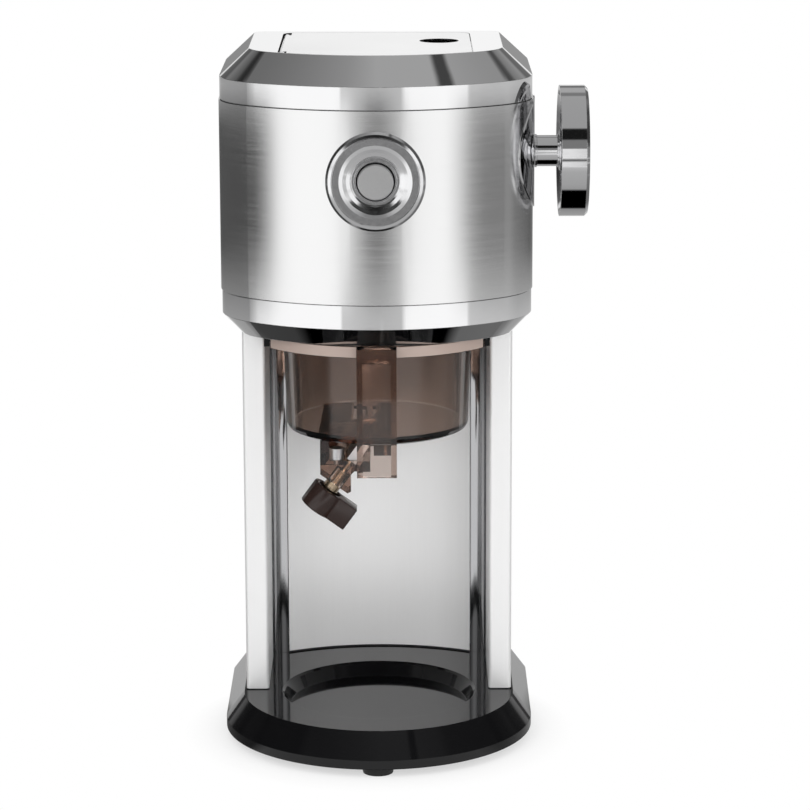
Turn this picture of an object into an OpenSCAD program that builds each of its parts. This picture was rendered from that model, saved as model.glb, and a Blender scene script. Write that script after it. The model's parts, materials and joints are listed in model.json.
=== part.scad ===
// Hand crank ice crusher on a stand: a block of ice in the hanging bowl is turned against a blade,
// and the crushed ice falls into a glass that stands in the round recess of the base.
// Millimetres. Z = 0 is the floor of the recess, on the axis of the bowl; the front faces -Y.

/* [Head] */
// Half the width of the head, which the stand, the base and the bowl follow
head_half_w = 86.8; // [85:0.1:95]
// How much less the head reaches to the front than to the sides
front_less = 23.8; // [16.8:0.1:25.8]
// Distance from the bowl axis to the rear of the head and of the stand
head_rear = 93; // [93:0.1:100]
// How far the flatter arc of the front reaches past its two corner arcs
front_swell = 15; // [13:0.1:21]
// Radius of the rear corners of the head
head_rear_r = 22; // [20:0.5:30]
// Height of the sloping part under the head
low_bevel_h = 10.8; // [8:0.1:14]
// How far that slope leans in
low_bevel_in = 10.3; // [8:0.1:10.4]
// Height of the lower polished band
low_band_h = 13.6; // [8:0.1:20]
// Height of the brushed shell
shell_h = 106.4; // [100:0.1:130]
// How far the brushed shell stands proud of the bands
shell_proud = 0.6; // [0.3:0.1:1.2]
// Height of the upper polished band
top_band_h = 12.9; // [8:0.1:20]
// Height of the sloping part on top
top_bevel_h = 15.2; // [12:0.1:22]
// How far that slope leans in
top_bevel_in = 16.5; // [12:0.1:17]
// Wall of the head
head_wall = 2.5; // [2:0.1:2.6]

/* [Base] */
// How far the base stands out past the head on each side
base_flare = 1.3; // [0.4:0.1:8]
// How far the base stands out behind the head
base_behind = 12; // [8:0.5:30]
// Radius of the rear corners of the base
base_corner_r = 18; // [15:1:30]
// Height of the upright band at the foot of the base
base_band_h = 5.1; // [3:0.1:10]
// Height of the sloping part of the base
base_bevel_h = 14; // [10:0.5:20]
// How far the slope of the base leans in
base_bevel_in = 10.5; // [6:0.1:11.5]
// Wall of the hollow base
base_wall = 3; // [2:0.1:3.2]
// Thickness of the closing plate under the base
bottom_plate_t = 2; // [1.5:0.1:2.4]
// Depth of the round recess for the glass
recess_depth = 7.6; // [6:0.1:9]
// Distance from the lip of the recess to the columns
recess_side = 7.8; // [6:0.1:12]
// How far the wall of the recess leans in from its lip to its floor
recess_lean = 4.7; // [3:0.1:9]
// How far the rubber feet stand out below the base
foot_out = 4.7; // [3:0.1:8]
// Radius of a foot where it meets the base
foot_r = 9.4; // [5:0.1:10]

/* [Stand] */
// Height of the stand between the base and the head
stand_h = 213.6; // [195:0.1:260]
// How far the columns stand in from the sides of the head
stand_in = 10.3; // [10.1:0.1:12]
// Width of a column seen from the front
column_w = 13; // [12:0.1:14]
// Depth of a column from front to rear
column_d = 64.5; // [58:0.5:66]
// Wall of a column
column_wall = 1.5; // [1:0.1:2]
// Thickness of the curved back panel
panel_t = 1.2; // [0.8:0.1:1.4]
// Radius of the polished strips in the inner corners
strip_r = 9; // [7:0.1:9.5]

/* [Hatch] */
// Distance from the lid to the sides of the top face
lid_side = 17.3; // [16:0.1:24]
// Distance from the lid to the rear of the top face
lid_back = 7.1; // [6:0.1:16]
// Thickness of the lid, and of the face of the top
lid_t = 2; // [1.5:0.1:2.4]
// Radius of the finger hole in the lid
finger_hole_r = 11; // [8:0.5:12]
// Radius of the hinge pin of the lid
lid_pin_r = 0.9; // [0.7:0.05:1.1]

/* [Release button] */
// Distance from the upper edge of the shell down to the middle of the button
button_down = 38.1; // [36.5:0.1:40.5]
// Outer radius of the round bezel
bezel_r = 27.2; // [24:0.1:30]
// How far the bezel stands proud of the shell
bezel_out = 3; // [2:0.1:4]
// Radius of the cap of the button
cap_r = 9.8; // [8:0.1:10]
// Travel of the button
button_travel = 3; // [2:0.1:3.2]

/* [Crank] */
// Distance from the upper edge of the shell down to the crank axis
crank_down = 30.6; // [28.5:0.1:32.5]
// Radius of the handwheel
wheel_r = 36.5; // [30:0.5:45]
// Width of the rim of the handwheel
wheel_w = 13.8; // [10:0.1:16]
// Clear distance between the head and the handwheel
wheel_gap = 13.9; // [10:0.1:20]
// Radius of the sleeve between the head and the handwheel
neck_r = 8.65; // [7:0.05:9.5]
// Radius of the crank shaft
crank_shaft_r = 5; // [4:0.1:5.5]
// Radius of the round plate where the crank enters the head
escutcheon_r = 31; // [28:0.5:38]

/* [Gears] */
// Number of teeth of the pinion on the crank shaft
pinion_teeth = 12; // [12]
// Number of teeth of the crown wheel
crown_teeth = 24; // [24]
// Pitch radius of a gear divided by half its number of teeth
gear_module = 2; // [2:0.1:2.2]
// Width of the pinion's teeth along its shaft
pinion_w = 6; // [5:0.1:6.5]

/* [Presser] */
// Distance from the edge of the presser disc to the wall at the bottom of the bowl
presser_side = 5.6; // [4:0.1:10]
// Thickness of the presser disc
presser_t = 4; // [3:0.1:5]
// Radius of the presser spindle
spindle_r = 6; // [5:0.1:6.5]
// How far the presser moves down into the bowl
presser_travel = 40; // [30:1:42]
// Length of a spike below the presser disc
spike_l = 6.3; // [4:0.1:6.6]
// Number of spikes
spike_count = 8; // [5:1:12]

/* [Bowl] */
// Width of a rail that carries the bowl
rail_w = 3.1; // [2.6:0.1:3.6]
// Distance from the top of the bowl's wall to the side of its flange
flange_side = 6.9; // [6:0.1:10]
// How far the wall of the bowl leans in towards its bottom
bowl_lean = 1.6; // [0.4:0.1:2]
// Wall of the bowl
bowl_wall = 2.9; // [2:0.1:3.2]
// Height of the bowl below its flange
bowl_h = 50; // [47:0.5:60]
// Thickness of the floor of the bowl
bowl_floor_t = 4.5; // [3.5:0.1:5]
// Thickness of the flange of the bowl
flange_t = 6.5; // [6:0.1:8]
// Width of the handle of the bowl
handle_w = 22; // [18:0.5:30]
// Height of the handle below the head
handle_h = 72.5; // [55:0.5:90]
// Wall of the handle
handle_wall = 3.2; // [2.5:0.1:4]

/* [Blade adjuster] */
// Lean of the adjusting screw from upright, in degrees
screw_lean = 36; // [36]
// Radius of the brass adjusting screw
screw_r = 4.7; // [4.2:0.1:4.9]
// Radius of the adjusting knob
knob_r = 9.8; // [8:0.1:12]
// Thickness of the adjusting knob
knob_t = 14; // [10:0.5:18]
// Length of the knob from its round side to the tip of its wing
knob_l = 29; // [24:0.5:36]
// Thickness of the blade
blade_t = 1.2; // [0.8:0.1:1.4]

/* [Fits] */
// Radial clearance of a part that turns or slides in a bore
fit = 0.05; // [0.02:0.01:0.1]
// Gap between pieces that pass each other
gap = 0.3; // [0.2:0.05:0.35]
// Width of the dark seams between the panels
seam = 0.4; // [0.2:0.05:0.6]

/* [Hidden] */
$fn = 96;
// Overrun of a cut past the face it opens
cut = 1;
// Overlap that joins two pieces of one solid, and the clearance of a pressed one
join = 0.02;

// Widths and depths that follow the head
head_front = head_half_w - front_less;
base_r = head_half_w + base_flare;
base_rear = head_rear + base_behind;
stand_half_w = head_half_w - stand_in;
column_in = stand_half_w - column_w;
stand_rear = head_rear;

// Levels of the base
base_top = recess_depth;
base_low = base_top - base_bevel_h - base_band_h;
ground = base_low - foot_out;
pan_low = base_low + bottom_plate_t;
pan_wall = 3;
pan_floor_t = 3;
recess_lip_r = column_in - recess_side;
recess_floor_r = recess_lip_r - recess_lean;
recess_round = 1.2;
foot_taper = 1;
foot_tip_r = foot_r - foot_taper;
foot_edge = 1.6;
front_foot_y = -(base_r - foot_r - foot_edge);
side_foot_in = 8.6;
side_foot_y = 20;
side_foot = [base_r - foot_r - side_foot_in, side_foot_y];
rear_foot_in = 10.6;
rear_foot_back = 9;
rear_foot = [base_r - foot_r - rear_foot_in, base_rear - foot_r - rear_foot_back];
boss_r = 5;
base_screw_r = 1.5;
base_screw_head_r = 3;
base_screw_head_h = 1.6;
base_screw_l = 9;
boss_ring_r = (recess_lip_r + pan_wall + base_r - base_bevel_in - base_wall) / 2;
rear_boss_in = 21;
rear_boss_back = 22;
rear_boss = [rear_foot[0] - rear_boss_in, base_rear - rear_boss_back];

// Levels and plan of the stand
head_low = base_top + stand_h;
column_edge_r = 2;
strip_t = 1.2;
strip_x = column_in - strip_r;
strip_y = column_d + gap;
rear_wall = 1.5;
panel_gap = 3;
panel_half_w = strip_x - seam;
panel_y = strip_y + strip_r;
panel_sag = stand_rear - rear_wall - panel_gap - panel_t - panel_y;
panel_r = (panel_half_w * panel_half_w + panel_sag * panel_sag) / (2 * panel_sag);
panel_cy = panel_y + panel_sag - panel_r;
rear_corner = 12;
rod_r = 2;
rod_x = column_in + column_wall + 2 * rod_r;
rod_end = 12;
rod_y = [rod_end, column_d - rod_end];
nut_r = 3.6;
nut_h = 3.2;

// Plan of the head: two corner arcs and a flatter front arc, all tangent
corner_forward = 4;
front_reach = head_front - corner_forward;
head_corner_r = front_reach - front_swell;
corner_x = head_half_w - head_corner_r;
front_r = (corner_x * corner_x + front_reach * front_reach - head_corner_r * head_corner_r)
    / (2 * (front_reach - head_corner_r));
front_cy = front_r - head_front;
rear_cx = head_half_w - head_rear_r;
rear_cy = head_rear - head_rear_r;

// Levels of the head
low_band_z = head_low + low_bevel_h;
shell_z = low_band_z + low_band_h;
top_band_z = shell_z + shell_h;
top_bevel_z = top_band_z + top_band_h;
head_top = top_bevel_z + top_bevel_h;
shell_wall = 1.2;
seam_in = 0.2;
floor_t = 3;
floor_top = head_low + floor_t;

// Hatch
lid_half_w = head_half_w - top_bevel_in - lid_side;
lid_rear = head_rear - top_bevel_in - lid_back;
lid_z = head_top - lid_t;
ledge_w = 3;
ledge_t = 2;
ledge_low = lid_z - gap - ledge_t;
lid_inset = 1.2;
lid_corner_r = 8;
barrel_r = lid_t;
hinge_x = -lid_half_w + barrel_r;
hinge_z = head_top - barrel_r;
barrel_front = 25;
barrel_back = 5.4;
barrel_y = [-barrel_front, lid_rear - lid_corner_r - barrel_back];
lid_pin_over = 3.4;
knuckle_l = 4.2;
finger_hole_in = 17.6;
finger_hole_y = 26;
finger_hole = [lid_half_w - finger_hole_in, finger_hole_y];

// Button, plunger and brake
button_z = top_band_z - button_down;
bezel_y = -(head_front + shell_proud + bezel_out);
bezel_edge = 1;
bezel_rim_w = 3.5;
bezel_rim_r = bezel_r - bezel_rim_w;
bezel_flat_w = 3.7;
dish_r = bezel_rim_r - bezel_flat_w;
dish_w = 6;
dish_low_r = dish_r - dish_w;
dish_d = 3.2;
cap_gap = 0.9;
bezel_bore_r = cap_r + cap_gap;
bezel_round_w = 1.3;
bezel_round_front = 0.7;
bezel_round_rear = 2.2;
bezel_tube_wall = 3;
bezel_tube_r = bezel_bore_r + bezel_tube_wall;
bezel_tube_l = 12;
cap_l = 6;
cap_edge = 0.6;
plunger_r = 3;
plunger_collar_r = 5.6;
plunger_collar_t = 1.2;
spring_l = 7;
spring_wire_r = 0.4;
spring_turns = 3;
spring_gap = 0.7;
spring_r = plunger_r + spring_wire_r + spring_gap;
collar_y = bezel_y + cap_l;
spring_y = collar_y + plunger_collar_t;
guide_y = spring_y + spring_l;
guide_l = 9;
guide_r = 6;
lug_gap = 8.4;
lug_y = guide_y + guide_l + lug_gap;
lug_t = 3.8;
lug_side = 2;
lug_half_w = plunger_r + lug_side;
yoke_half_w = 12;
yoke_gap = 2;
yoke_slot_half_w = spindle_r + yoke_gap;
yoke_slot_over = 1.5;
yoke_slot_y = -(spindle_r + button_travel + yoke_slot_over);
yoke_low = button_z + plunger_r;
yoke_t = 6;
pad_t = 4;
pad_half_w = 5;
pad_gap = 0.2;
pad_y = spindle_r + pad_gap;
yoke_rear_wall = 5;

// Gear train
crank_z = top_band_z - crank_down;
pinion_pitch_r = gear_module * pinion_teeth / 2;
crown_pitch_r = gear_module * crown_teeth / 2;
addendum = gear_module * 0.8;
dedendum = gear_module * 1.15;
tooth_tip_half = gear_module * 0.26;
tooth_pitch_half = gear_module * 0.5;
tooth_root_half = gear_module * 0.78;
crown_tip_half = gear_module * 0.2;
crown_root_half = gear_module * 0.55;
crown_pitch_z = crank_z - pinion_pitch_r;
crown_root_z = crown_pitch_z - dedendum;
crown_t = 6;
crown_z = crown_root_z - crown_t;
pinion_x = crown_pitch_r - pinion_w / 2;
pinion_hub_l = 5;
pinion_hub_r = 8;
shaft_over = 3.5;
shaft_end_x = pinion_x - shaft_over;
pin_r = 1.25;

// Bowl, on its rails
flange_half_w = column_in - rail_w - 2 * gap;
bowl_top_r = flange_half_w - flange_side;
bowl_low_r = bowl_top_r - bowl_lean;
bowl_in_r = bowl_top_r - bowl_wall;
bowl_in_low_r = bowl_low_r - bowl_wall;
flange_top = head_low - seam;
flange_z = flange_top - flange_t;
bowl_z = flange_z - bowl_h;
bowl_floor_z = bowl_z + bowl_floor_t;
bowl_edge = 3.2;
flange_in = 9;
flange_front = head_front - flange_in;
flange_round = 15.2;
flange_front_r = flange_half_w + flange_round;
flange_rear = 50;
flange_corner_r = 10;
rail_x = flange_half_w + gap;
rail_front = -20;
rail_rear = 55;
tongue_t = 1.2;
tongue_l = 1.6;
tongue_z = flange_z + flange_t / 2 - tongue_t / 2;
handle_in = 0.5;
handle_front = head_front - handle_in;
handle_low = head_low - handle_h;
handle_arm_h = 8.5;
handle_d = 10.6;

// Presser
presser_r = bowl_in_low_r - presser_side;
presser_hole_gap = 4.6;
presser_hole_r = presser_r + presser_hole_gap;
spike_clear = 2;
spike_tip = head_low + spike_clear;
presser_z = spike_tip + spike_l;
spindle_z = presser_z + presser_t;
lift_knob_drop = 14;
lift_knob_z = head_top - lid_t - lift_knob_drop;
lift_knob_h = 11.5;
lift_knob_r = 13;
lift_knob_neck_in = 4;
lift_knob_cap = 4;
spindle_top = lift_knob_z + lift_knob_h - lift_knob_cap;
spike_r = 2.2;
spike_stem_r = 1.8;
spike_ring_share = 0.72;
spike_inner_gap = 3.12;
spike_inner_r = 2 * spindle_r + spike_inner_gap;
presser_screw_r = 2.5;
presser_screw_head_r = 5;
presser_screw_head_h = 3;
presser_screw_l = 18;

// Frame that carries the gears
post_h = 19.5;
deck_z = floor_top + post_h;
deck_t = 4;
post_r = 4;
post_gap = 1.4;
post_x = presser_hole_r + post_r + post_gap;
deck_edge = 1;
deck_half_w = post_x + post_r + deck_edge;
deck_rear = 34;
post_in = 6;
post_front_share = 0.769;
post_front = (head_corner_r - low_bevel_in - head_wall) * post_front_share;
deck_front = post_front + post_in;
post_y = [-post_front, deck_rear - post_in];
sleeve_wall = 3;
sleeve_r = spindle_r + sleeve_wall;
bush_wall = 4;
boss_wall = 3;
frame_boss_r = sleeve_r + bush_wall + boss_wall;
collar_t = 5;
collar_out = 3;
collar_r = sleeve_r + collar_out;
frame_boss_top = crown_z - collar_t - gap;
bush_l = 12;
crank_bush_wall = 3;
crank_boss_r = crank_shaft_r + crank_bush_wall + boss_wall;
hub_gap = 1.5;
crank_boss_x = pinion_x + pinion_w + pinion_hub_l + hub_gap;
escutcheon_boss_l = 14;
crank_boss_gap = 10.3;
crank_boss_l = head_half_w - escutcheon_boss_l - crank_boss_gap - crank_boss_x;
crank_bush_share = 0.31;
crank_bush_l = crank_boss_l * crank_bush_share;
wall_t = 6;
wall_half_w = 18;
guide_half_w = 9;

// Sleeve, and the keys that let the spindle slide in it
sleeve_below = 4;
sleeve_z = deck_z - sleeve_below;
sleeve_above = 2;
sleeve_top = crown_pitch_z + sleeve_above;
clip_t = 1;
key_w = 3;
key_out = 1.8;
key_over = 10;
key_l = presser_travel + key_over;
key_down = 5.4;
key_z = sleeve_top - key_down - key_l;

// Crank outside the head
escutcheon_out = 0.8;
neck_x = head_half_w + shell_proud + escutcheon_out + gap;
wheel_x = head_half_w + shell_proud + escutcheon_out + wheel_gap;
neck_collar_t = 1;
neck_collar_out = 0.6;
wheel_edge = 1.7;
rim_round = 2.5;
rim_step = 5;
rim_w = 7.5;
web_in = 5;
web_x = wheel_x + web_in;
web_t = 4;
wheel_hub_r = 11;
nut_cap_r = 9;
nut_cap_h = 4;
escutcheon_boss_wall = 4;
escutcheon_boss_r = crank_shaft_r + escutcheon_boss_wall;
shell_hole_r = escutcheon_boss_r + gap;

// Blade adjuster, placed by the point where the screw enters the sloping face
face_left = 24;
face_x = -face_left;
face_down = 27.5;
face_z = bowl_z - face_down;
adjust_y = -22;
carrier_left = -32.1;
carrier_right = 8;
carrier_front = -29;
carrier_rear = 44;
wedge_right = -14.9;
plate_h = 19.9;
plate_low = bowl_z - plate_h;
right_h = 10.6;
right_low = bowl_z - right_h;
step_x = -4;
wedge_round = 2;
window_left = -27;
window_right = -2;
window_h = 13.8;
window_low = bowl_z - window_h;
window_rear = -6;
slide_half_t = 3;
slide_low = 16;
slide_high = 29;
slide_u = [slide_low, slide_high];
slide_front = 27.6;
slide_rear = 43;
slide_y = [-slide_front, slide_rear];
blade_front = 1.6;
blade_rear = 42;
blade_y = [-blade_front, blade_rear];
blade_low = 18;
blade_tip = 38.4;
blade_u = [blade_low, blade_tip];
blade_bevel = 3;
blade_travel = 1.2;
slot_left = 14;
slot_right = 1;
slot_x = [-slot_left, -slot_right];
slot_front = 2.4;
slot_rear = 43;
slot_y = [-slot_front, slot_rear];
chute_w = 6;
chute_low = 2;
chute_l = 50;
tip_r = 1.9;
tip_u = 28;
shoulder_u = 8.5;
knob_gap = 5;
knob_cup = 2.4;
knob_cup_wall = 2.2;
knob_cup_r = screw_r + knob_cup_wall;
thread_pitch = 1;
thread_depth = 0.35;
wing_w = 13;
clamp_left = 22.9;
clamp_front = 24;
clamp_head_r = 4.1;
clamp_head_h = 6.5;
clamp_shank_r = 1.8;
clamp_shank_l = 2.6;
mount_x = 4.4;
mount_front = 18;
mount_middle = 10;
mount_rear = 36;
mount_y = [-mount_front, mount_middle, mount_rear];
mount_head_r = 2.6;
mount_head_h = 2;
mount_shank_r = 1.3;
mount_depth = 2.5;
mount_head_z = right_low - mount_head_h;

// Colours
steel = [0.74, 0.75, 0.76];
polished = [0.86, 0.87, 0.88];
black = [0.05, 0.05, 0.055];
smoke = [0.42, 0.34, 0.30];
cast = [0.62, 0.63, 0.65];
brass = [0.78, 0.62, 0.32];
knob_brown = [0.16, 0.12, 0.11];
rubber = [0.09, 0.09, 0.09];

// Outline with rounded corners at its +Y end, and square ones at its -Y end
module tongue_plan(half_w, low_y, high_y, r) {
    translate([-half_w, low_y]) square([2 * half_w, high_y - r - low_y]);
    translate([-half_w + r, low_y]) square([2 * (half_w - r), high_y - low_y]);
    for (s = [-1, 1]) translate([s * (half_w - r), high_y - r]) circle(r);
}

// A prism that leans in on both sides by the same amount, from half width w0 to w1, along Y
module side_prism(w0, w1, h, y0, y1) {
    translate([0, y1, 0]) rotate([90, 0, 0]) linear_extrude(y1 - y0)
        polygon([[-w0, 0], [w0, 0], [w1, h], [-w1, h]]);
}

// A prism that leans in at the rear only, along X
module rear_prism(half_w, y0, y1, h) {
    translate([-half_w, 0, 0]) rotate([90, 0, 90]) linear_extrude(2 * half_w)
        polygon([[0, 0], [y0, 0], [y1, h], [0, h]]);
}

// One level of the base, inset by in0 at its foot and by in1 at its top
module base_form(z, h, in0, in1) {
    rear_c = [base_r - base_corner_r, base_rear - base_corner_r];
    translate([0, 0, z]) {
        cylinder(h = h, r1 = base_r - in0, r2 = base_r - in1);
        side_prism(base_r - in0, base_r - in1, h, 0, rear_c[1]);
        rear_prism(rear_c[0], base_rear - in0, base_rear - in1, h);
        for (s = [-1, 1]) translate([s * rear_c[0], rear_c[1], 0])
            cylinder(h = h, r1 = base_corner_r - in0, r2 = base_corner_r - in1);
    }
}

// The part of the plan of the head that its front arc bounds
module front_wedge() {
    far = 3;
    polygon([[0, front_cy], [far * corner_x, front_cy - far * (front_cy + corner_forward)],
        [-far * corner_x, front_cy - far * (front_cy + corner_forward)]]);
}

// Plan of the head, inset by a distance, or outset by a negative one
module head_plan(inset) {
    for (s = [-1, 1]) translate([s * corner_x, -corner_forward]) circle(head_corner_r - inset);
    intersection() {
        translate([0, front_cy]) circle(front_r - inset);
        front_wedge();
    }
    translate([-head_half_w + inset, -corner_forward])
        square([2 * (head_half_w - inset), rear_cy + corner_forward]);
    translate([-rear_cx, 0]) square([2 * rear_cx, head_rear - inset]);
    for (s = [-1, 1]) translate([s * rear_cx, rear_cy]) circle(head_rear_r - inset);
}

// A sloping level of the head, with its slope on the front and sides, and at the rear if asked
module head_slope(z, h, in0, in1, rear_too) {
    side_end = rear_too ? rear_cy : head_rear;
    translate([0, 0, z]) {
        for (s = [-1, 1]) translate([s * corner_x, -corner_forward, 0])
            cylinder(h = h, r1 = head_corner_r - in0, r2 = head_corner_r - in1);
        intersection() {
            translate([0, front_cy, 0]) cylinder(h = h, r1 = front_r - in0, r2 = front_r - in1);
            linear_extrude(h) front_wedge();
        }
        side_prism(head_half_w - in0, head_half_w - in1, h, -corner_forward, side_end);
        if (rear_too) {
            rear_prism(rear_cx, head_rear - in0, head_rear - in1, h);
            for (s = [-1, 1]) translate([s * rear_cx, rear_cy, 0])
                cylinder(h = h, r1 = head_rear_r - in0, r2 = head_rear_r - in1);
        }
    }
}

module head_level(z, h, inset) {
    translate([0, 0, z]) linear_extrude(h) head_plan(inset);
}

module at_rods() {
    for (s = [-1, 1]) for (y = rod_y) translate([s * rod_x, y, 0]) children();
}

module at_bosses() {
    for (s = [-1, 1]) {
        translate([s * boss_ring_r * sin(45), -boss_ring_r * cos(45), 0]) children();
        translate([s * rear_boss[0], rear_boss[1], 0]) children();
    }
}

// Places what is drawn along +Z so that it runs along +X at the height of the crank
module on_crank(x) {
    translate([x, 0, crank_z]) rotate([0, 90, 0]) children();
}

// Places what is drawn along +Z so that it runs along +Y at the height of the button
module on_button(y) {
    translate([0, y, button_z]) rotate([-90, 0, 0]) children();
}

// Places what is drawn along +Z so that it runs up the adjusting screw; +X is across the slide
module on_screw(u) {
    translate([face_x, 0, face_z]) rotate([0, screw_lean, 0]) translate([0, 0, u]) children();
}

// A ring of a bush or collar along +Z
module tube(r_out, r_in, h) {
    difference() {
        cylinder(h = h, r = r_out);
        translate([0, 0, -cut]) cylinder(h = h + 2 * cut, r = r_in);
    }
}

// Base

module base_cover() color(black) difference() {
    union() {
        base_form(base_low, base_band_h, 0, 0);
        base_form(base_low + base_band_h, base_bevel_h, 0, base_bevel_in);
    }
    difference() {
        base_form(base_low - cut, base_top - base_wall - base_low + cut,
            base_bevel_in + base_wall, base_bevel_in + base_wall);
        translate([0, 0, -pan_floor_t]) cylinder(h = base_top + pan_floor_t, r = recess_lip_r + pan_wall);
        at_bosses() translate([0, 0, pan_low]) cylinder(h = base_top - pan_low, r = boss_r);
    }
    base_form(base_low - cut, bottom_plate_t + cut, base_wall, base_wall);
    rotate_extrude() polygon([[0, 0], [recess_floor_r, 0],
        [recess_lip_r - recess_round, base_top - recess_round], [recess_lip_r, base_top],
        [recess_lip_r, base_top + cut], [0, base_top + cut]]);
    at_rods() translate([0, 0, base_top - base_wall - cut])
        cylinder(h = base_wall + 2 * cut, r = rod_r + gap);
    at_bosses() translate([0, 0, pan_low - cut])
        cylinder(h = base_top - base_wall - pan_low, r = base_screw_r + fit);
}

module base_bottom_plate() color(black) difference() {
    base_form(base_low, bottom_plate_t, base_wall + gap, base_wall + gap);
    at_bosses() translate([0, 0, base_low - cut])
        cylinder(h = bottom_plate_t + 2 * cut, r = base_screw_r + gap);
}

module foot() {
    translate([0, 0, ground]) cylinder(h = foot_out, r1 = foot_tip_r, r2 = foot_r);
}

module feet() color(rubber) {
    translate([0, front_foot_y, 0]) foot();
    for (s = [-1, 1]) {
        translate([s * side_foot[0], side_foot[1], 0]) foot();
        translate([s * rear_foot[0], rear_foot[1], 0]) foot();
    }
}

module base_screws() color(polished) at_bosses() {
    translate([0, 0, base_low - base_screw_head_h])
        cylinder(h = base_screw_head_h, r = base_screw_head_r);
    translate([0, 0, base_low - base_screw_head_h])
        cylinder(h = base_screw_head_h + base_screw_l, r = base_screw_r);
}

// Stand

module column_plan(inset) {
    low_y = inset;
    x0 = column_in + inset;
    w = column_w - 2 * inset;
    r = column_edge_r;
    translate([x0, low_y + r]) square([w, column_d - inset - low_y - r]);
    translate([x0 + r, low_y]) square([w - 2 * r, r]);
    for (x = [x0 + r, x0 + w - r]) translate([x, low_y + r]) circle(r);
}

module column() {
    translate([0, 0, base_top]) linear_extrude(stand_h) difference() {
        column_plan(0);
        column_plan(column_wall);
    }
}

module right_column() color(steel) column();
module left_column() color(steel) mirror([1, 0, 0]) column();

module corner_strip() {
    translate([strip_x, strip_y, base_top]) linear_extrude(stand_h) intersection() {
        difference() {
            circle(strip_r + strip_t);
            circle(strip_r);
        }
        square(strip_r + strip_t);
    }
}

module right_corner_strip() color(polished) corner_strip();
module left_corner_strip() color(polished) mirror([1, 0, 0]) corner_strip();

module back_panel() color(steel)
    translate([0, 0, base_top]) linear_extrude(stand_h) intersection() {
        translate([0, panel_cy]) difference() {
            circle(panel_r + panel_t);
            circle(panel_r);
        }
        translate([-panel_half_w, column_d]) square([2 * panel_half_w, stand_rear - column_d]);
    }

module rear_cover() color(steel)
    translate([0, 0, base_top]) linear_extrude(stand_h) difference() {
        tongue_plan(stand_half_w, column_d + gap, stand_rear, rear_corner);
        tongue_plan(stand_half_w - rear_wall, column_d + gap - cut, stand_rear - rear_wall,
            rear_corner - rear_wall);
    }

module tie_rods() color(polished) at_rods()
    translate([0, 0, base_top - base_wall - nut_h - cut])
        cylinder(h = base_wall + stand_h + floor_t + 2 * (nut_h + cut), r = rod_r);

module tie_nuts() color(polished) at_rods() for (z = [base_top - base_wall - nut_h, floor_top])
    translate([0, 0, z]) difference() {
        cylinder(h = nut_h, r = nut_r, $fn = 6);
        translate([0, 0, -cut]) cylinder(h = nut_h + 2 * cut, r = rod_r + join);
    }

// Head casing

module head_floor() color(cast) difference() {
    head_level(head_low, floor_t, low_bevel_in + head_wall + gap);
    translate([0, 0, head_low - cut]) cylinder(h = floor_t + 2 * cut, r = presser_hole_r);
    at_rods() translate([0, 0, head_low - cut]) cylinder(h = floor_t + 2 * cut, r = rod_r + gap);
}

module bottom_ring() color(polished) difference() {
    union() {
        intersection() {
            head_slope(head_low, low_bevel_h, low_bevel_in, 0, false);
            head_level(head_low, low_bevel_h, 0);
        }
        head_level(low_band_z, low_band_h - seam, 0);
        head_level(shell_z - seam, seam, seam_in);
    }
    head_level(head_low - cut, low_bevel_h + 2 * cut, low_bevel_in + head_wall);
    head_level(low_band_z, low_band_h + cut, head_wall);
}

module head_shell() color(steel) difference() {
    head_level(shell_z, shell_h, -shell_proud);
    head_level(shell_z - cut, shell_h + 2 * cut, shell_wall - shell_proud);
    on_button(-head_front - bezel_out) cylinder(h = head_front, r = bezel_tube_r + gap);
    on_crank(corner_x) cylinder(h = head_half_w, r = shell_hole_r);
}

// Outline of the lid, grown by a gap
module lid_plan(grow) {
    intersection() {
        head_plan(top_bevel_in + lid_inset - grow);
        tongue_plan(lid_half_w + grow, -head_front, lid_rear + grow, lid_corner_r);
    }
}

// The flat of the lid: it reaches the hinge line only along the barrel
module lid_outline() {
    intersection() {
        lid_plan(0);
        translate([hinge_x + barrel_r + seam, -head_front]) square([2 * head_half_w, 2 * head_rear]);
    }
    translate([hinge_x, barrel_y[0]]) square([2 * barrel_r, barrel_y[1] - barrel_y[0]]);
}

// The two fixed knuckles of the hinge, each on a web from the edge of the opening
module knuckles() {
    for (y = [barrel_y[0] - seam - knuckle_l, barrel_y[1] + seam]) {
        translate([hinge_x, y, hinge_z]) rotate([-90, 0, 0]) cylinder(h = knuckle_l, r = barrel_r);
        translate([hinge_x - barrel_r - seam - join, y, ledge_low])
            cube([barrel_r + seam + join, knuckle_l, hinge_z - ledge_low]);
    }
}

module top_cover() color(polished) difference() {
    union() {
        difference() {
            union() {
                head_level(top_band_z, seam, seam_in);
                head_level(top_band_z + seam, top_band_h - seam, 0);
                head_slope(top_bevel_z, top_bevel_h, 0, top_bevel_in, true);
            }
            head_level(top_band_z - cut, top_band_h + cut, head_wall);
            head_level(top_bevel_z - cut, ledge_low - top_bevel_z + cut, top_bevel_in + head_wall);
            translate([0, 0, lid_z - gap]) linear_extrude(lid_t + gap + cut) lid_plan(seam);
            translate([0, 0, ledge_low - cut]) linear_extrude(ledge_t + 2 * cut) lid_plan(-ledge_w);
            translate([hinge_x - barrel_r - seam, barrel_y[0] - seam, ledge_low - cut])
                cube([2 * barrel_r + ledge_w, barrel_y[1] - barrel_y[0] + 2 * seam, head_top]);
        }
        knuckles();
    }
    translate([hinge_x, barrel_y[0] - lid_pin_over - join, hinge_z]) rotate([-90, 0, 0])
        cylinder(h = barrel_y[1] - barrel_y[0] + 2 * (lid_pin_over + join), r = lid_pin_r + join);
}

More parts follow.
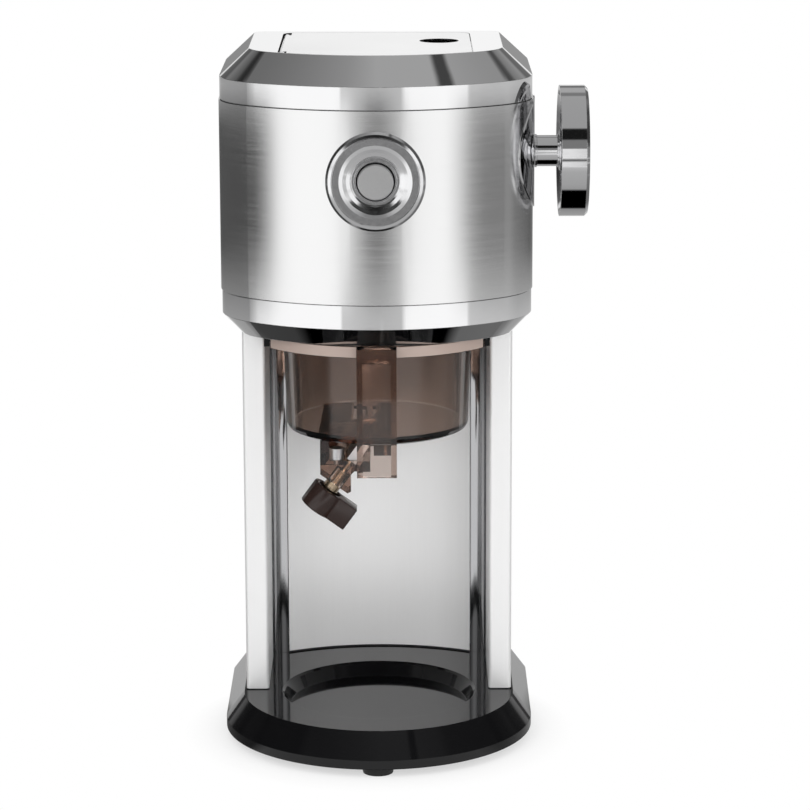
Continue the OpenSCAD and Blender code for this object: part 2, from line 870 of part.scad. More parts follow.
module hatch_lid() color(steel) difference() {
    union() {
        translate([0, 0, lid_z]) linear_extrude(lid_t) lid_outline();
        translate([hinge_x, barrel_y[0], hinge_z]) rotate([-90, 0, 0])
            cylinder(h = barrel_y[1] - barrel_y[0], r = barrel_r);
    }
    translate([finger_hole[0], finger_hole[1], lid_z - cut])
        cylinder(h = lid_t + 2 * cut, r = finger_hole_r);
    translate([hinge_x, barrel_y[0] - cut, hinge_z]) rotate([-90, 0, 0])
        cylinder(h = barrel_y[1] - barrel_y[0] + 2 * cut, r = lid_pin_r + fit);
}

module hinge_pin() color(polished)
    translate([hinge_x, barrel_y[0] - lid_pin_over, hinge_z]) rotate([-90, 0, 0])
        cylinder(h = barrel_y[1] - barrel_y[0] + 2 * lid_pin_over, r = lid_pin_r);

module rail() {
    translate([rail_x, rail_front, flange_z]) cube([rail_w, rail_rear - rail_front, head_low - flange_z]);
    translate([rail_x - tongue_l, rail_front, tongue_z])
        cube([tongue_l + rail_w, rail_rear - rail_front, tongue_t]);
}

module right_rail() color(black) rail();
module left_rail() color(black) mirror([1, 0, 0]) rail();

// Drive

module drive_frame() color(cast) difference() {
    union() {
        translate([-deck_half_w, -deck_front, deck_z])
            cube([2 * deck_half_w, deck_front + deck_rear, deck_t]);
        translate([-guide_half_w, guide_y, deck_z])
            cube([2 * guide_half_w, -deck_front - guide_y + cut, deck_t]);
        for (s = [-1, 1]) for (y = post_y) translate([s * post_x, y, floor_top])
            cylinder(h = deck_z - floor_top, r = post_r);
        translate([0, 0, deck_z]) cylinder(h = frame_boss_top - deck_z, r = frame_boss_r);
        translate([crank_boss_x + wall_t, -wall_half_w, deck_z])
            cube([wall_t, 2 * wall_half_w, crank_z - deck_z + crank_boss_r]);
        on_crank(crank_boss_x) cylinder(h = crank_boss_l, r = crank_boss_r);
        translate([-guide_half_w, guide_y, deck_z])
            cube([2 * guide_half_w, wall_t, button_z - deck_z]);
        on_button(guide_y) cylinder(h = guide_l, r = guide_r);
        on_button(guide_y) cylinder(h = wall_t, r = guide_half_w);
    }
    translate([0, 0, deck_z - cut]) cylinder(h = frame_boss_top, r = sleeve_r + bush_wall);
    on_crank(crank_boss_x - cut)
        cylinder(h = crank_boss_l + 2 * cut, r = crank_shaft_r + crank_bush_wall);
    on_button(guide_y - cut) cylinder(h = guide_l + 2 * cut, r = plunger_r + fit);
}

module sleeve_bushes() color(brass) for (z = [deck_z, frame_boss_top - bush_l])
    translate([0, 0, z]) tube(sleeve_r + bush_wall - join, sleeve_r + fit, bush_l);

module crank_bushes() color(brass) for (x = [0, crank_boss_l - crank_bush_l])
    on_crank(crank_boss_x + x)
        tube(crank_shaft_r + crank_bush_wall - join, crank_shaft_r + fit, crank_bush_l);

module crank_escutcheon() color(polished) difference() {
    union() {
        difference() {
            intersection() {
                head_level(crank_z - escutcheon_r, 2 * escutcheon_r, -shell_proud - escutcheon_out);
                on_crank(corner_x) cylinder(h = head_half_w, r = escutcheon_r);
            }
            head_level(crank_z - 2 * escutcheon_r, 4 * escutcheon_r, -shell_proud - join);
        }
        on_crank(head_half_w - escutcheon_boss_l)
            cylinder(h = escutcheon_boss_l + shell_proud + escutcheon_out, r = escutcheon_boss_r);
    }
    on_crank(corner_x) cylinder(h = head_half_w, r = crank_shaft_r + fit);
}

module crank_shaft() color(polished) difference() {
    on_crank(shaft_end_x) cylinder(h = web_x + web_t + nut_cap_h - shaft_end_x - cut, r = crank_shaft_r);
    translate([pinion_x + pinion_w + pinion_hub_l / 2, 0, crank_z - 2 * crank_shaft_r])
        cylinder(h = 4 * crank_shaft_r, r = pin_r + join);
}

// One tooth in the plane, pointing along +Y from its pitch line
module tooth_plan(tip_half, pitch_half, root_half, low) {
    polygon([[-root_half, -low], [root_half, -low], [pitch_half, 0], [tip_half, addendum],
        [-tip_half, addendum], [-pitch_half, 0]]);
}

module pinion() color(steel) difference() {
    union() {
        on_crank(pinion_x) linear_extrude(pinion_w) {
            circle(pinion_pitch_r - dedendum);
            for (i = [0 : pinion_teeth - 1]) rotate(i * 360 / pinion_teeth)
                translate([pinion_pitch_r, 0]) rotate(-90)
                    tooth_plan(tooth_tip_half, tooth_pitch_half, tooth_root_half, dedendum + cut);
        }
        on_crank(pinion_x + pinion_w - join) cylinder(h = pinion_hub_l + join, r = pinion_hub_r);
    }
    on_crank(pinion_x - cut) cylinder(h = pinion_w + pinion_hub_l + 2 * cut, r = crank_shaft_r + join);
    translate([pinion_x + pinion_w + pinion_hub_l / 2, 0, crank_z - 2 * pinion_hub_r])
        cylinder(h = 4 * pinion_hub_r, r = pin_r + join);
}

module pinion_pin() color(polished)
    translate([pinion_x + pinion_w + pinion_hub_l / 2, 0, crank_z - pinion_hub_r])
        cylinder(h = 2 * pinion_hub_r, r = pin_r);

module crank_neck() color(polished) {
    difference() {
        union() {
            on_crank(neck_x) cylinder(h = wheel_x - neck_x, r = neck_r);
            for (x = [neck_x, wheel_x - neck_collar_t])
                on_crank(x) cylinder(h = neck_collar_t, r = neck_r + neck_collar_out);
        }
        on_crank(neck_x - cut) cylinder(h = wheel_x - neck_x + 2 * cut, r = crank_shaft_r + join);
    }
}

module handwheel() color(polished) difference() {
    on_crank(wheel_x) rotate_extrude() {
        rim = wheel_r - rim_round;
        step = wheel_r - rim_step;
        dish = wheel_r - rim_w;
        polygon([[0, 0], [wheel_hub_r, 0], [wheel_hub_r, web_x - wheel_x],
            [dish, web_x - wheel_x], [dish, wheel_edge], [step, wheel_edge], [rim, 0],
            [wheel_r, 0], [wheel_r, wheel_w], [wheel_r - wheel_edge, wheel_w + wheel_edge],
            [dish, wheel_w + wheel_edge], [dish - wheel_edge, web_x - wheel_x + web_t],
            [0, web_x - wheel_x + web_t]]);
    }
    on_crank(wheel_x - cut) cylinder(h = wheel_w + 2 * cut, r = crank_shaft_r + join);
}

module wheel_nut() color(polished) difference() {
    on_crank(web_x + web_t) cylinder(h = nut_cap_h, r = nut_cap_r);
    on_crank(web_x + web_t - cut) cylinder(h = nut_cap_h, r = crank_shaft_r + join);
}

module crown_wheel() color(steel) difference() {
    union() {
        translate([0, 0, crown_z]) cylinder(h = crown_t, r = crown_pitch_r + pinion_w / 2);
        for (i = [0 : crown_teeth - 1]) rotate((i + 0.5) * 360 / crown_teeth)
            translate([pinion_x, 0, crown_pitch_z]) rotate([90, 0, 90]) linear_extrude(pinion_w)
                polygon([[-crown_root_half, -dedendum - join], [crown_root_half, -dedendum - join],
                    [crown_tip_half, addendum], [-crown_tip_half, addendum]]);
    }
    translate([0, 0, crown_z - cut]) cylinder(h = crown_t + 2 * cut, r = sleeve_r + join);
}

module drive_sleeve() color(steel) difference() {
    union() {
        translate([0, 0, sleeve_z]) cylinder(h = sleeve_top - sleeve_z, r = sleeve_r);
        translate([0, 0, crown_z - collar_t]) cylinder(h = collar_t, r = collar_r);
    }
    translate([0, 0, sleeve_z - cut]) cylinder(h = sleeve_top - sleeve_z + 2 * cut, r = spindle_r + fit);
    translate([-spindle_r - key_out - fit, -key_w / 2 - fit, sleeve_z - cut])
        cube([2 * (spindle_r + key_out + fit), key_w + 2 * fit, sleeve_top - sleeve_z + 2 * cut]);
}

module sleeve_clip() color(polished)
    translate([0, 0, deck_z - gap - clip_t]) tube(collar_r, sleeve_r + join, clip_t);

module spindle() color(polished) difference() {
    translate([0, 0, spindle_z]) cylinder(h = spindle_top - spindle_z, r = spindle_r);
    translate([0, 0, spindle_z - cut]) cylinder(h = presser_screw_l + cut, r = presser_screw_r + join);
    for (s = [0, 180]) rotate(s) translate([spindle_r - key_out - join, -key_w / 2 - join, key_z - join])
        cube([2 * key_out, key_w + 2 * join, key_l + 2 * join]);
}

module spindle_keys() color(steel) for (s = [0, 180]) rotate(s)
    translate([spindle_r - key_out, -key_w / 2, key_z]) cube([2 * key_out, key_w, key_l]);

module at_spikes() {
    for (i = [0 : spike_count - 1]) rotate((i + 0.5) * 360 / spike_count)
        translate([presser_r * spike_ring_share, 0, 0]) children();
    for (i = [0 : 2]) rotate(i * 120) translate([spike_inner_r, 0, 0]) children();
}

module presser_disc() color(polished) difference() {
    union() {
        translate([0, 0, presser_z]) cylinder(h = presser_t, r = presser_r);
        translate([0, 0, presser_z + presser_t - join]) tube(2 * spindle_r, spindle_r + join, presser_t);
    }
    translate([0, 0, presser_z - cut]) cylinder(h = presser_t + 2 * cut, r = presser_screw_r + join);
    at_spikes() translate([0, 0, presser_z - cut])
        cylinder(h = presser_t + 2 * cut, r = spike_stem_r + join);
}

module presser_spikes() color(steel) at_spikes() {
    translate([0, 0, spike_tip]) cylinder(h = spike_l, r1 = spike_r / 8, r2 = spike_r);
    translate([0, 0, presser_z - join]) cylinder(h = presser_t, r = spike_stem_r);
}

module presser_screw() color(polished) {
    translate([0, 0, presser_z - presser_screw_head_h])
        cylinder(h = presser_screw_head_h, r = presser_screw_head_r);
    translate([0, 0, presser_z - presser_screw_head_h])
        cylinder(h = presser_screw_l + presser_screw_head_h, r = presser_screw_r);
}

module lift_knob() color(black) difference() {
    neck = lift_knob_r - lift_knob_neck_in;
    translate([0, 0, lift_knob_z]) rotate_extrude() polygon([[0, 0], [neck, 0],
        [neck, lift_knob_h / 3], [lift_knob_r, lift_knob_h / 2], [lift_knob_r, lift_knob_h - cap_edge],
        [lift_knob_r - cap_edge, lift_knob_h], [0, lift_knob_h]]);
    translate([0, 0, lift_knob_z - cut])
        cylinder(h = spindle_top - lift_knob_z + cut, r = spindle_r + join);
}

// Release button and brake

module button_bezel() color(polished) difference() {
    on_button(bezel_y) rotate_extrude() polygon([
        [bezel_bore_r, bezel_tube_l], [bezel_bore_r, dish_d - bezel_edge],
        [bezel_bore_r + bezel_edge, dish_d - bezel_edge], [bezel_bore_r + bezel_edge, dish_d],
        [dish_low_r - bezel_edge, dish_d], [dish_low_r, dish_d - bezel_edge / 2],
        [dish_low_r + 2 * bezel_edge, dish_d - 1.3 * bezel_edge],
        [dish_low_r + 4 * bezel_edge, dish_d - 2.3 * bezel_edge], [dish_r, bezel_edge / 2],
        [bezel_rim_r, bezel_edge / 2], [bezel_rim_r + bezel_edge / 2, 0],
        [bezel_r - bezel_round_w, bezel_round_front], [bezel_r, bezel_round_rear],
        [bezel_r, bezel_tube_l],
    ]);
    difference() {
        head_level(button_z - 2 * bezel_r, 4 * bezel_r, -shell_proud - join);
        on_button(-head_front - 2 * bezel_out) cylinder(h = head_front, r = bezel_tube_r);
    }
}

module button_cap() color(polished) on_button(bezel_y) rotate_extrude() polygon([
    [0, 0], [cap_r - cap_edge, 0], [cap_r, cap_edge], [cap_r, cap_l], [0, cap_l]]);

module button_plunger() color(steel) {
    on_button(collar_y) cylinder(h = lug_y - collar_y, r = plunger_r);
    on_button(collar_y) cylinder(h = plunger_collar_t, r = plunger_collar_r);
}

// Round tube along a list of points, each with a direction, closed at both ends
module swept_tube(points, dirs, r, sides) {
    n = len(points);
    function side_of(d) = let (c = cross(d, [1, 0, 0])) norm(c) > 0.3 ? c / norm(c)
        : let (e = cross(d, [0, 0, 1])) e / norm(e);
    rings = [for (i = [0 : n - 1]) let (a = side_of(dirs[i]), b = cross(dirs[i], a))
        for (k = [0 : sides - 1]) points[i] + r * (cos(360 * k / sides) * a + sin(360 * k / sides) * b)];
    faces = concat(
        [for (i = [0 : n - 2]) for (k = [0 : sides - 1]) let (m = (k + 1) % sides)
            [i * sides + k, i * sides + m, (i + 1) * sides + m]],
        [for (i = [0 : n - 2]) for (k = [0 : sides - 1]) let (m = (k + 1) % sides)
            [i * sides + k, (i + 1) * sides + m, (i + 1) * sides + k]],
        [for (k = [1 : sides - 2]) [0, k + 1, k]],
        [for (k = [1 : sides - 2]) [(n - 1) * sides, (n - 1) * sides + k, (n - 1) * sides + k + 1]]);
    polyhedron(points = rings, faces = faces);
}

// A plain coil spring along +Z, its wire inside the given length
module coil_spring(mean_r, wire_r, length, turns) {
    rise = length - 2 * wire_r;
    steps = 8 * turns;
    points = [for (i = [0 : steps]) [mean_r * cos(360 * i / 8), mean_r * sin(360 * i / 8),
        wire_r + rise * i / steps]];
    climb = rise / (2 * PI * mean_r * turns);
    dirs = [for (i = [0 : steps]) let (d = [-sin(360 * i / 8), cos(360 * i / 8), climb]) d / norm(d)];
    swept_tube(points, dirs, wire_r, 6);
}

module button_spring() color(polished)
    on_button(spring_y) coil_spring(spring_r, spring_wire_r, spring_l, spring_turns);

module brake_yoke() color(steel) difference() {
    union() {
        translate([-yoke_half_w, lug_y, yoke_low])
            cube([2 * yoke_half_w, pad_y + pad_t + yoke_rear_wall - lug_y, yoke_t]);
        translate([-lug_half_w, lug_y, button_z - plunger_r - cap_edge])
            cube([2 * lug_half_w, lug_t, 2 * plunger_r + cap_edge + join]);
    }
    translate([-yoke_slot_half_w, yoke_slot_y, yoke_low - cut])
        cube([2 * yoke_slot_half_w, pad_y + pad_t - yoke_slot_y, yoke_t + 2 * cut]);
}

module brake_pad() color(rubber)
    translate([-pad_half_w, pad_y, yoke_low]) cube([2 * pad_half_w, pad_t, yoke_t]);

// Bowl

module bowl() color(smoke) difference() {
    union() {
        translate([0, 0, bowl_z]) rotate_extrude() polygon([[0, 0], [bowl_low_r - bowl_edge, 0],
            [bowl_low_r - bowl_edge / 3, bowl_edge / 3],
            [bowl_low_r + bowl_lean * bowl_edge / bowl_h, bowl_edge],
            [bowl_top_r, bowl_h + join], [0, bowl_h + join]]);
        translate([0, 0, flange_z]) linear_extrude(flange_t) {
            tongue_plan(flange_half_w, 0, flange_rear, flange_corner_r);
            intersection() {
                translate([0, flange_front_r - flange_front]) circle(flange_front_r);
                translate([-flange_half_w, -flange_front_r])
                    square([2 * flange_half_w, flange_front_r + cut]);
            }
        }
    }
    translate([0, 0, bowl_floor_z]) cylinder(h = flange_top - bowl_floor_z + cut,
        r1 = bowl_in_low_r, r2 = bowl_in_r + (flange_t + cut) * (bowl_in_r - bowl_in_low_r) / bowl_h);
    translate([slot_x[0], slot_y[0], bowl_z - cut])
        cube([slot_x[1] - slot_x[0], slot_y[1] - slot_y[0], bowl_floor_t + 2 * cut]);
    for (s = [-1, 1])
        translate([s * (rail_x - tongue_l - gap + flange_half_w / 2), 0, tongue_z + tongue_t / 2])
            cube([flange_half_w, 4 * flange_front_r, tongue_t + 2 * gap], center = true);
    for (y = mount_y) translate([mount_x, y, bowl_z - cut])
        cylinder(h = mount_depth + cut, r = mount_shank_r + join);
}

module bowl_handle() color(smoke) difference() {
    translate([-handle_w / 2, -handle_front, handle_low])
        cube([handle_w, handle_front, flange_top - handle_low]);
    translate([-handle_w / 2 + handle_wall, -handle_front + handle_wall, handle_low - cut])
        cube([handle_w - 2 * handle_wall, handle_front, flange_top - handle_arm_h - handle_low + cut]);
    translate([-handle_w, -handle_front + handle_d, handle_low - cut])
        cube([2 * handle_w, handle_front, flange_top - handle_arm_h - handle_low + cut]);
    translate([0, 0, handle_low - cut]) cylinder(h = flange_z - handle_low + cut, r = bowl_top_r + gap);
    translate([0, flange_front_r - flange_front, flange_z])
        cylinder(h = flange_t + cut, r = flange_front_r + join);
    translate([0, 0, flange_z - handle_arm_h]) cylinder(h = handle_arm_h, r = bowl_top_r + gap);
}

// Blade adjuster

module carrier_plan() {
    face_drop = tan(screw_lean);
    polygon([[carrier_left, bowl_z], [carrier_left, face_z + (face_x - carrier_left) * face_drop],
        [wedge_right - wedge_round, face_z + (face_x - wedge_right + wedge_round) * face_drop],
        [wedge_right, face_z + (face_x - wedge_right + wedge_round) * face_drop + wedge_round / 2],
        [wedge_right, plate_low - wedge_round], [wedge_right + wedge_round, plate_low],
        [step_x, plate_low], [step_x, right_low], [carrier_right, right_low], [carrier_right, bowl_z]]);
}

module blade_carrier() color(smoke) difference() {
    translate([0, carrier_rear, 0]) rotate([90, 0, 0])
        linear_extrude(carrier_rear - carrier_front) carrier_plan();
    // Behind the screw housing the wedge ends, so that only the plate carries the slide
    translate([carrier_left - cut, window_rear, face_z - knob_t * 2])
        cube([carrier_right - carrier_left, carrier_rear, plate_low - face_z + knob_t * 2]);
    translate([window_left, carrier_front - cut, window_low])
        cube([window_right - window_left, window_rear - carrier_front + cut, bowl_z - window_low + cut]);
    on_screw(slide_u[0] - blade_travel - gap) translate([-slide_half_t - gap, slide_y[0] - gap, 0])
        cube([2 * (slide_half_t + gap), slide_y[1] - slide_y[0] + 2 * gap, bowl_h]);
    on_screw(chute_low) translate([-slide_half_t - chute_w, slot_y[0], 0])
        cube([chute_w, slot_y[1] - slot_y[0], chute_l]);
    translate([0, adjust_y, 0]) on_screw(-knob_t) cylinder(h = shoulder_u + knob_t + gap, r = screw_r + fit);
    translate([0, adjust_y, 0]) on_screw(0) cylinder(h = slide_u[0] + cut, r = tip_r + fit);
    translate([-clamp_left, -clamp_front, window_low - clamp_shank_l - gap])
        cylinder(h = clamp_shank_l + gap + cut, r = clamp_shank_r + join);
    for (y = mount_y) {
        translate([mount_x, y, face_z - knob_t])
            cylinder(h = mount_head_z + mount_head_h - face_z + knob_t, r = mount_head_r + gap);
        translate([mount_x, y, mount_head_z]) cylinder(h = bowl_z, r = mount_shank_r + join);
    }
}

module carrier_screws() color(polished) for (y = mount_y) translate([mount_x, y, 0]) {
    translate([0, 0, mount_head_z]) cylinder(h = mount_head_h, r = mount_head_r);
    translate([0, 0, mount_head_z])
        cylinder(h = bowl_z + mount_depth - mount_head_z, r = mount_shank_r);
}

module clamp_screw() color(polished) translate([-clamp_left, -clamp_front, window_low]) {
    cylinder(h = clamp_head_h, r = clamp_head_r);
    translate([0, 0, -clamp_shank_l]) cylinder(h = clamp_shank_l + clamp_head_h, r = clamp_shank_r);
}

module blade_slide() color(steel) difference() {
    on_screw(slide_u[0]) translate([-slide_half_t, slide_y[0], 0])
        cube([2 * slide_half_t, slide_y[1] - slide_y[0], slide_u[1] - slide_u[0]]);
    on_screw(slide_u[0] - cut) translate([-slide_half_t - cut, blade_y[0] - join, 0])
        cube([blade_t + cut + join, slide_y[1] - blade_y[0] + cut, slide_u[1]]);
    translate([0, adjust_y, 0]) on_screw(slide_u[0] - cut)
        cylinder(h = slide_u[1] - slide_u[0] + 2 * cut, r = tip_r + fit);
}

module blade() color(polished) translate([0, blade_y[1], 0]) rotate([90, 0, 0])
    linear_extrude(blade_y[1] - blade_y[0])
        translate([face_x, face_z]) rotate(-screw_lean)
            polygon([[-slide_half_t, blade_u[0]], [-slide_half_t + blade_t, blade_u[0]],
                [-slide_half_t + blade_t, blade_u[1]], [-slide_half_t, blade_u[1] - blade_bevel]]);

module adjust_screw() color(brass) translate([0, adjust_y, 0]) on_screw(0) {
    turns = floor((shoulder_u + knob_gap) / thread_pitch);
    rotate_extrude() polygon(concat([[0, shoulder_u], [0, -knob_gap - knob_cup]],
        [[screw_r - thread_depth, -knob_gap - knob_cup]],
        [for (i = [0 : turns - 1]) each [
            [screw_r, -knob_gap + (i + 0.25) * thread_pitch],
            [screw_r, -knob_gap + (i + 0.5) * thread_pitch],
            [screw_r - thread_depth, -knob_gap + (i + 0.75) * thread_pitch],
            [screw_r - thread_depth, -knob_gap + (i + 1) * thread_pitch]]],
        [[screw_r - thread_depth, shoulder_u]]));
    cylinder(h = tip_u, r = tip_r);
}

module adjust_knob() color(knob_brown) translate([0, adjust_y, 0]) on_screw(-knob_gap - knob_t)
    difference() {
        union() {
            cylinder(h = knob_t, r = knob_r);
            translate([0, -wing_w / 2, 0]) cube([knob_l - knob_r, wing_w, knob_t]);
        }
        translate([0, 0, knob_t - knob_cup]) cylinder(h = knob_cup + cut, r = knob_cup_r);
    }

base_cover();
base_bottom_plate();
feet();
base_screws();
left_column();
right_column();
left_corner_strip();
right_corner_strip();
back_panel();
rear_cover();
tie_rods();
tie_nuts();
head_floor();
bottom_ring();
head_shell();
top_cover();
hatch_lid();
hinge_pin();
left_rail();
right_rail();
drive_frame();
sleeve_bushes();
crank_bushes();
crank_escutcheon();
crank_shaft();
pinion();
pinion_pin();
crank_neck();
handwheel();
wheel_nut();
crown_wheel();
drive_sleeve();
sleeve_clip();
spindle();
spindle_keys();
presser_disc();
presser_spikes();
presser_screw();
lift_knob();
button_bezel();
button_cap();
button_plunger();
button_spring();
brake_yoke();
brake_pad();
bowl();
bowl_handle();
blade_carrier();
carrier_screws();
clamp_screw();
blade_slide();
blade();
adjust_screw();
adjust_knob();
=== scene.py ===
"""Dresses the hand crank ice crusher: materials, fine detail, a white studio and the camera."""
import json
import math

import bmesh
import bpy
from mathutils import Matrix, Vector


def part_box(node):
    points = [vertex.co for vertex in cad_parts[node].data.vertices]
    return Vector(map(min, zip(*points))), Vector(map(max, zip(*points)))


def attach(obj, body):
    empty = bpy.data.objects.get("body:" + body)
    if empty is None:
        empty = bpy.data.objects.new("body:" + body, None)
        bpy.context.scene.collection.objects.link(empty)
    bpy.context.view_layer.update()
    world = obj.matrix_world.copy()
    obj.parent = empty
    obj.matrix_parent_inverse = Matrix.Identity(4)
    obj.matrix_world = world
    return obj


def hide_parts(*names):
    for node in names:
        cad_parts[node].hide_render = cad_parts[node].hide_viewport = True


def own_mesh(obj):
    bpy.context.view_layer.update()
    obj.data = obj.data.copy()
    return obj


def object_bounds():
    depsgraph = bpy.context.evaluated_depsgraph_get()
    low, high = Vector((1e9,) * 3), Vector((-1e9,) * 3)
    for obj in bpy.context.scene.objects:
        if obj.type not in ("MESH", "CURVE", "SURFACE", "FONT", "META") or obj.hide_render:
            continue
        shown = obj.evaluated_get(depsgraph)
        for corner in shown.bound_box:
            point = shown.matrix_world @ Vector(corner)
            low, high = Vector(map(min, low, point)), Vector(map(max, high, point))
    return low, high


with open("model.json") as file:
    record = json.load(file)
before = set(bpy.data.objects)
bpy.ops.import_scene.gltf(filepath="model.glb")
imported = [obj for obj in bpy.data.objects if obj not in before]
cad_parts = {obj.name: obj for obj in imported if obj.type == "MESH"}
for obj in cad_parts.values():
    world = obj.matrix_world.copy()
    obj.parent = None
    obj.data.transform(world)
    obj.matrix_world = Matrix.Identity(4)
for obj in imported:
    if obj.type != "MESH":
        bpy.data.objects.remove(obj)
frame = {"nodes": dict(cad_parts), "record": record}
cad_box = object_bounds()
nodes = frame["nodes"]
floor_z = cad_box[0][2]
scene = bpy.context.scene
scene.view_settings.view_transform = "Standard"

# Camera: its place in metres, its angles in degrees, and its lens and sensor in millimetres
CAMERA_X, CAMERA_Y, CAMERA_RISE = 0.0141, -1.8365, 0.6026
CAMERA_TILT, CAMERA_PAN, CAMERA_ROLL = 77.405, -0.048, -0.172
LENS, SENSOR_WIDTH = 147.24, 36.0
CLIP_START, CLIP_END = 0.05, 60.0


def add_camera():
    data = bpy.data.cameras.new("camera")
    data.sensor_width = SENSOR_WIDTH
    data.lens = LENS
    data.clip_start, data.clip_end = CLIP_START, CLIP_END
    cam = bpy.data.objects.new("camera", data)
    scene.collection.objects.link(cam)
    cam.location = (CAMERA_X, CAMERA_Y, floor_z + CAMERA_RISE)
    cam.rotation_euler = (math.radians(CAMERA_TILT), 0.0, math.radians(CAMERA_PAN))
    cam.rotation_euler.rotate_axis("Z", math.radians(CAMERA_ROLL))
    scene.camera = cam


add_camera()


# Node helpers
class Shader:
    """A material's or world's node tree, with short ways to add and join nodes."""

    def __init__(self, owner):
        owner.use_nodes = True
        self.tree = owner.node_tree
        self.tree.nodes.clear()

    def add(self, kind, **values):
        node = self.tree.nodes.new("ShaderNode" + kind)
        for key, value in values.items():
            setattr(node, key, value)
        return node

    def feed(self, socket, value):
        """Sets an input from a value or from another node's output."""
        if isinstance(value, bpy.types.NodeSocket):
            self.tree.links.new(value, socket)
        else:
            socket.default_value = value

    def put(self, node, **inputs):
        """Feeds inputs by their names, with _ for a space, or by their places: i0 is the first."""
        for key, value in inputs.items():
            by_place = key[0] == "i" and key[1:].isdigit()
            self.feed(node.inputs[int(key[1:]) if by_place else key.replace("_", " ")], value)
        return node

    def math(self, operation, a, b=0.0, clamp=False):
        node = self.add("Math", operation=operation, use_clamp=clamp)
        return self.put(node, i0=a, i1=b).outputs[0]

    def angle(self, a, b):
        """The angle of the vector (b, a) as a place on a ramp of a full turn, 0.5 along b."""
        turns = self.math("DIVIDE", self.math("ARCTAN2", a, b), 2 * math.pi)
        return self.math("ADD", turns, 0.5)

    def mix(self, factor, a, b):
        node = self.add("Mix", data_type="RGBA")
        return self.put(node, i0=factor, i6=a, i7=b).outputs[2]

    def either(self, factor, first, second):
        """One shader where the factor is 0, the other where it is 1."""
        return self.put(self.add("MixShader"), i0=factor, i1=first, i2=second).outputs[0]

    def seen(self, path):
        """1 where the camera looks at the surface, also through clear plastic."""
        return self.math("MAXIMUM", path["Is Camera Ray"], path["Is Transmission Ray"])

    def ramp(self, factor, stops):
        """A straight-line ramp through (place, brightness) stops."""
        node = self.add("ValToRGB")
        ramp = node.color_ramp
        ramp.interpolation = "LINEAR"
        while len(ramp.elements) > 1:
            ramp.elements.remove(ramp.elements[-1])
        ramp.elements[0].position = stops[0][0]
        ramp.elements[0].color = rgba(stops[0][1])
        for place, value in stops[1:]:
            ramp.elements.new(place).color = rgba(value)
        self.tree.links.new(factor, node.inputs[0])
        return node.outputs[0]

    def ramp_round(self, factor, stops):
        """A ramp over a full turn, with stops in degrees."""
        return self.ramp(factor, [((degrees + 180.0) / 360.0, value) for degrees, value in stops])

    def ramp_up(self, factor, stops):
        """A ramp from straight down to straight up, with stops in degrees of elevation."""
        return self.ramp(factor, [((degrees + 90.0) / 180.0, value) for degrees, value in stops])


def rgba(value):
    """A number as a grey, or three numbers as a colour."""
    if isinstance(value, (int, float)):
        return (value, value, value, 1.0)
    return (*value, 1.0)


BLACK, WHITE = rgba(0.0), rgba(1.0)

# The studio that shiny surfaces show, as (degrees, brightness). The walls go round the object,
# with 0 in front and 90 on the crank's side: one set of panels for the shell, and a paler one
# at the heights that the polished bands show.
SHELL_WALL = [
    (-180, 0.35), (-160, 0.08), (-74, 0.06), (-66, 0.3), (-57, 0.9), (-50, 1.0), (-24, 1.0),
    (-17, 0.84), (-12, 0.5), (-4, 0.16), (2, 0.1), (10, 0.36), (15, 0.52), (20, 0.92),
    (40, 1.0), (46, 0.8), (56, 0.3), (64, 0.19), (78, 0.19), (86, 0.26), (100, 0.17),
    (150, 0.1), (180, 0.35),
]
BAND_WALL = [
    (-180, 0.6), (-150, 0.36), (-78, 0.34), (-74, 0.85), (-62, 1.0), (-20.6, 1.0),
    (-19.8, 0.56), (15, 0.52), (15.8, 1.0), (54, 1.0), (55, 0.62), (110, 0.5), (180, 0.6),
]
# The vault goes over the object, with 0 at the front horizon, 90 overhead and 180 at the rear
# horizon: a softbox in front, a dim ceiling, and a white strip low behind
VAULT = [
    (0, 0.6), (6, 0.7), (10, 0.95), (26, 0.95), (27.5, 0.045), (46, 0.045), (48, 0.34),
    (118, 0.36), (121, 0.2), (128, 0.2), (134, 0.42), (150, 0.42), (156, 0.18), (169, 0.18),
    (171, 0.95), (180, 0.95),
]
# The vault is dimmed by degrees round the object, but high up by its crown's shares, from the
# far left at 0 to the far right at 1
VAULT_SIDES = [
    (-180, 1.0), (-150, 0.5), (-130, 0.12), (-76, 0.1), (-57, 0.9), (-24, 1.0), (-17, 0.7),
    (-6, 0.22), (6, 0.2), (14, 0.5), (20, 0.95), (41, 1.0), (56, 0.35), (120, 0.15),
    (150, 0.7), (180, 1.0),
]
VAULT_CROWN = [
    (0.10, 0.0), (0.20, 0.35), (0.28, 0.5), (0.42, 0.75), (0.5, 1.0), (0.65, 1.0),
    (0.662, 0.15), (0.685, 0.15), (0.695, 0.9), (0.79, 0.7), (0.87, 0.0),
]
# Shares by degrees of elevation: of the bands' wall, of any wall, of the vault over the walls,
# and of the crown over the sides
BAND_HEIGHTS = [
    (-11.6, 0.0), (-11.5, 1.0), (-10.6, 1.0), (-10.5, 0.0),
    (-7.7, 0.0), (-7.6, 1.0), (-6.7, 1.0), (-6.6, 0.0),
]
WALL_FOOT = [(-90, 0.0), (-58, 0.0), (-50, 1.0)]
HORIZON = [(2, 0.0), (3.5, 1.0)]
CROWN_START = [(44, 0.0), (47, 1.0)]
# The slit of light in front, left out at the heights that the shell and the bands show. The
# tread of the handwheel shows it as its white band.
SLIT_TURN = [(1.8, 0.0), (2.2, 1.0), (3.6, 1.0), (4.0, 0.0)]
SLIT_HEIGHTS = [
    (-20, 1.0), (-12, 1.0), (-11.8, 0.0), (-6.4, 0.0), (-6.2, 1.0), (10.5, 1.0), (11.5, 0.0),
]
# The strength of the even light on matt surfaces
PLAIN_LIGHT = 0.75


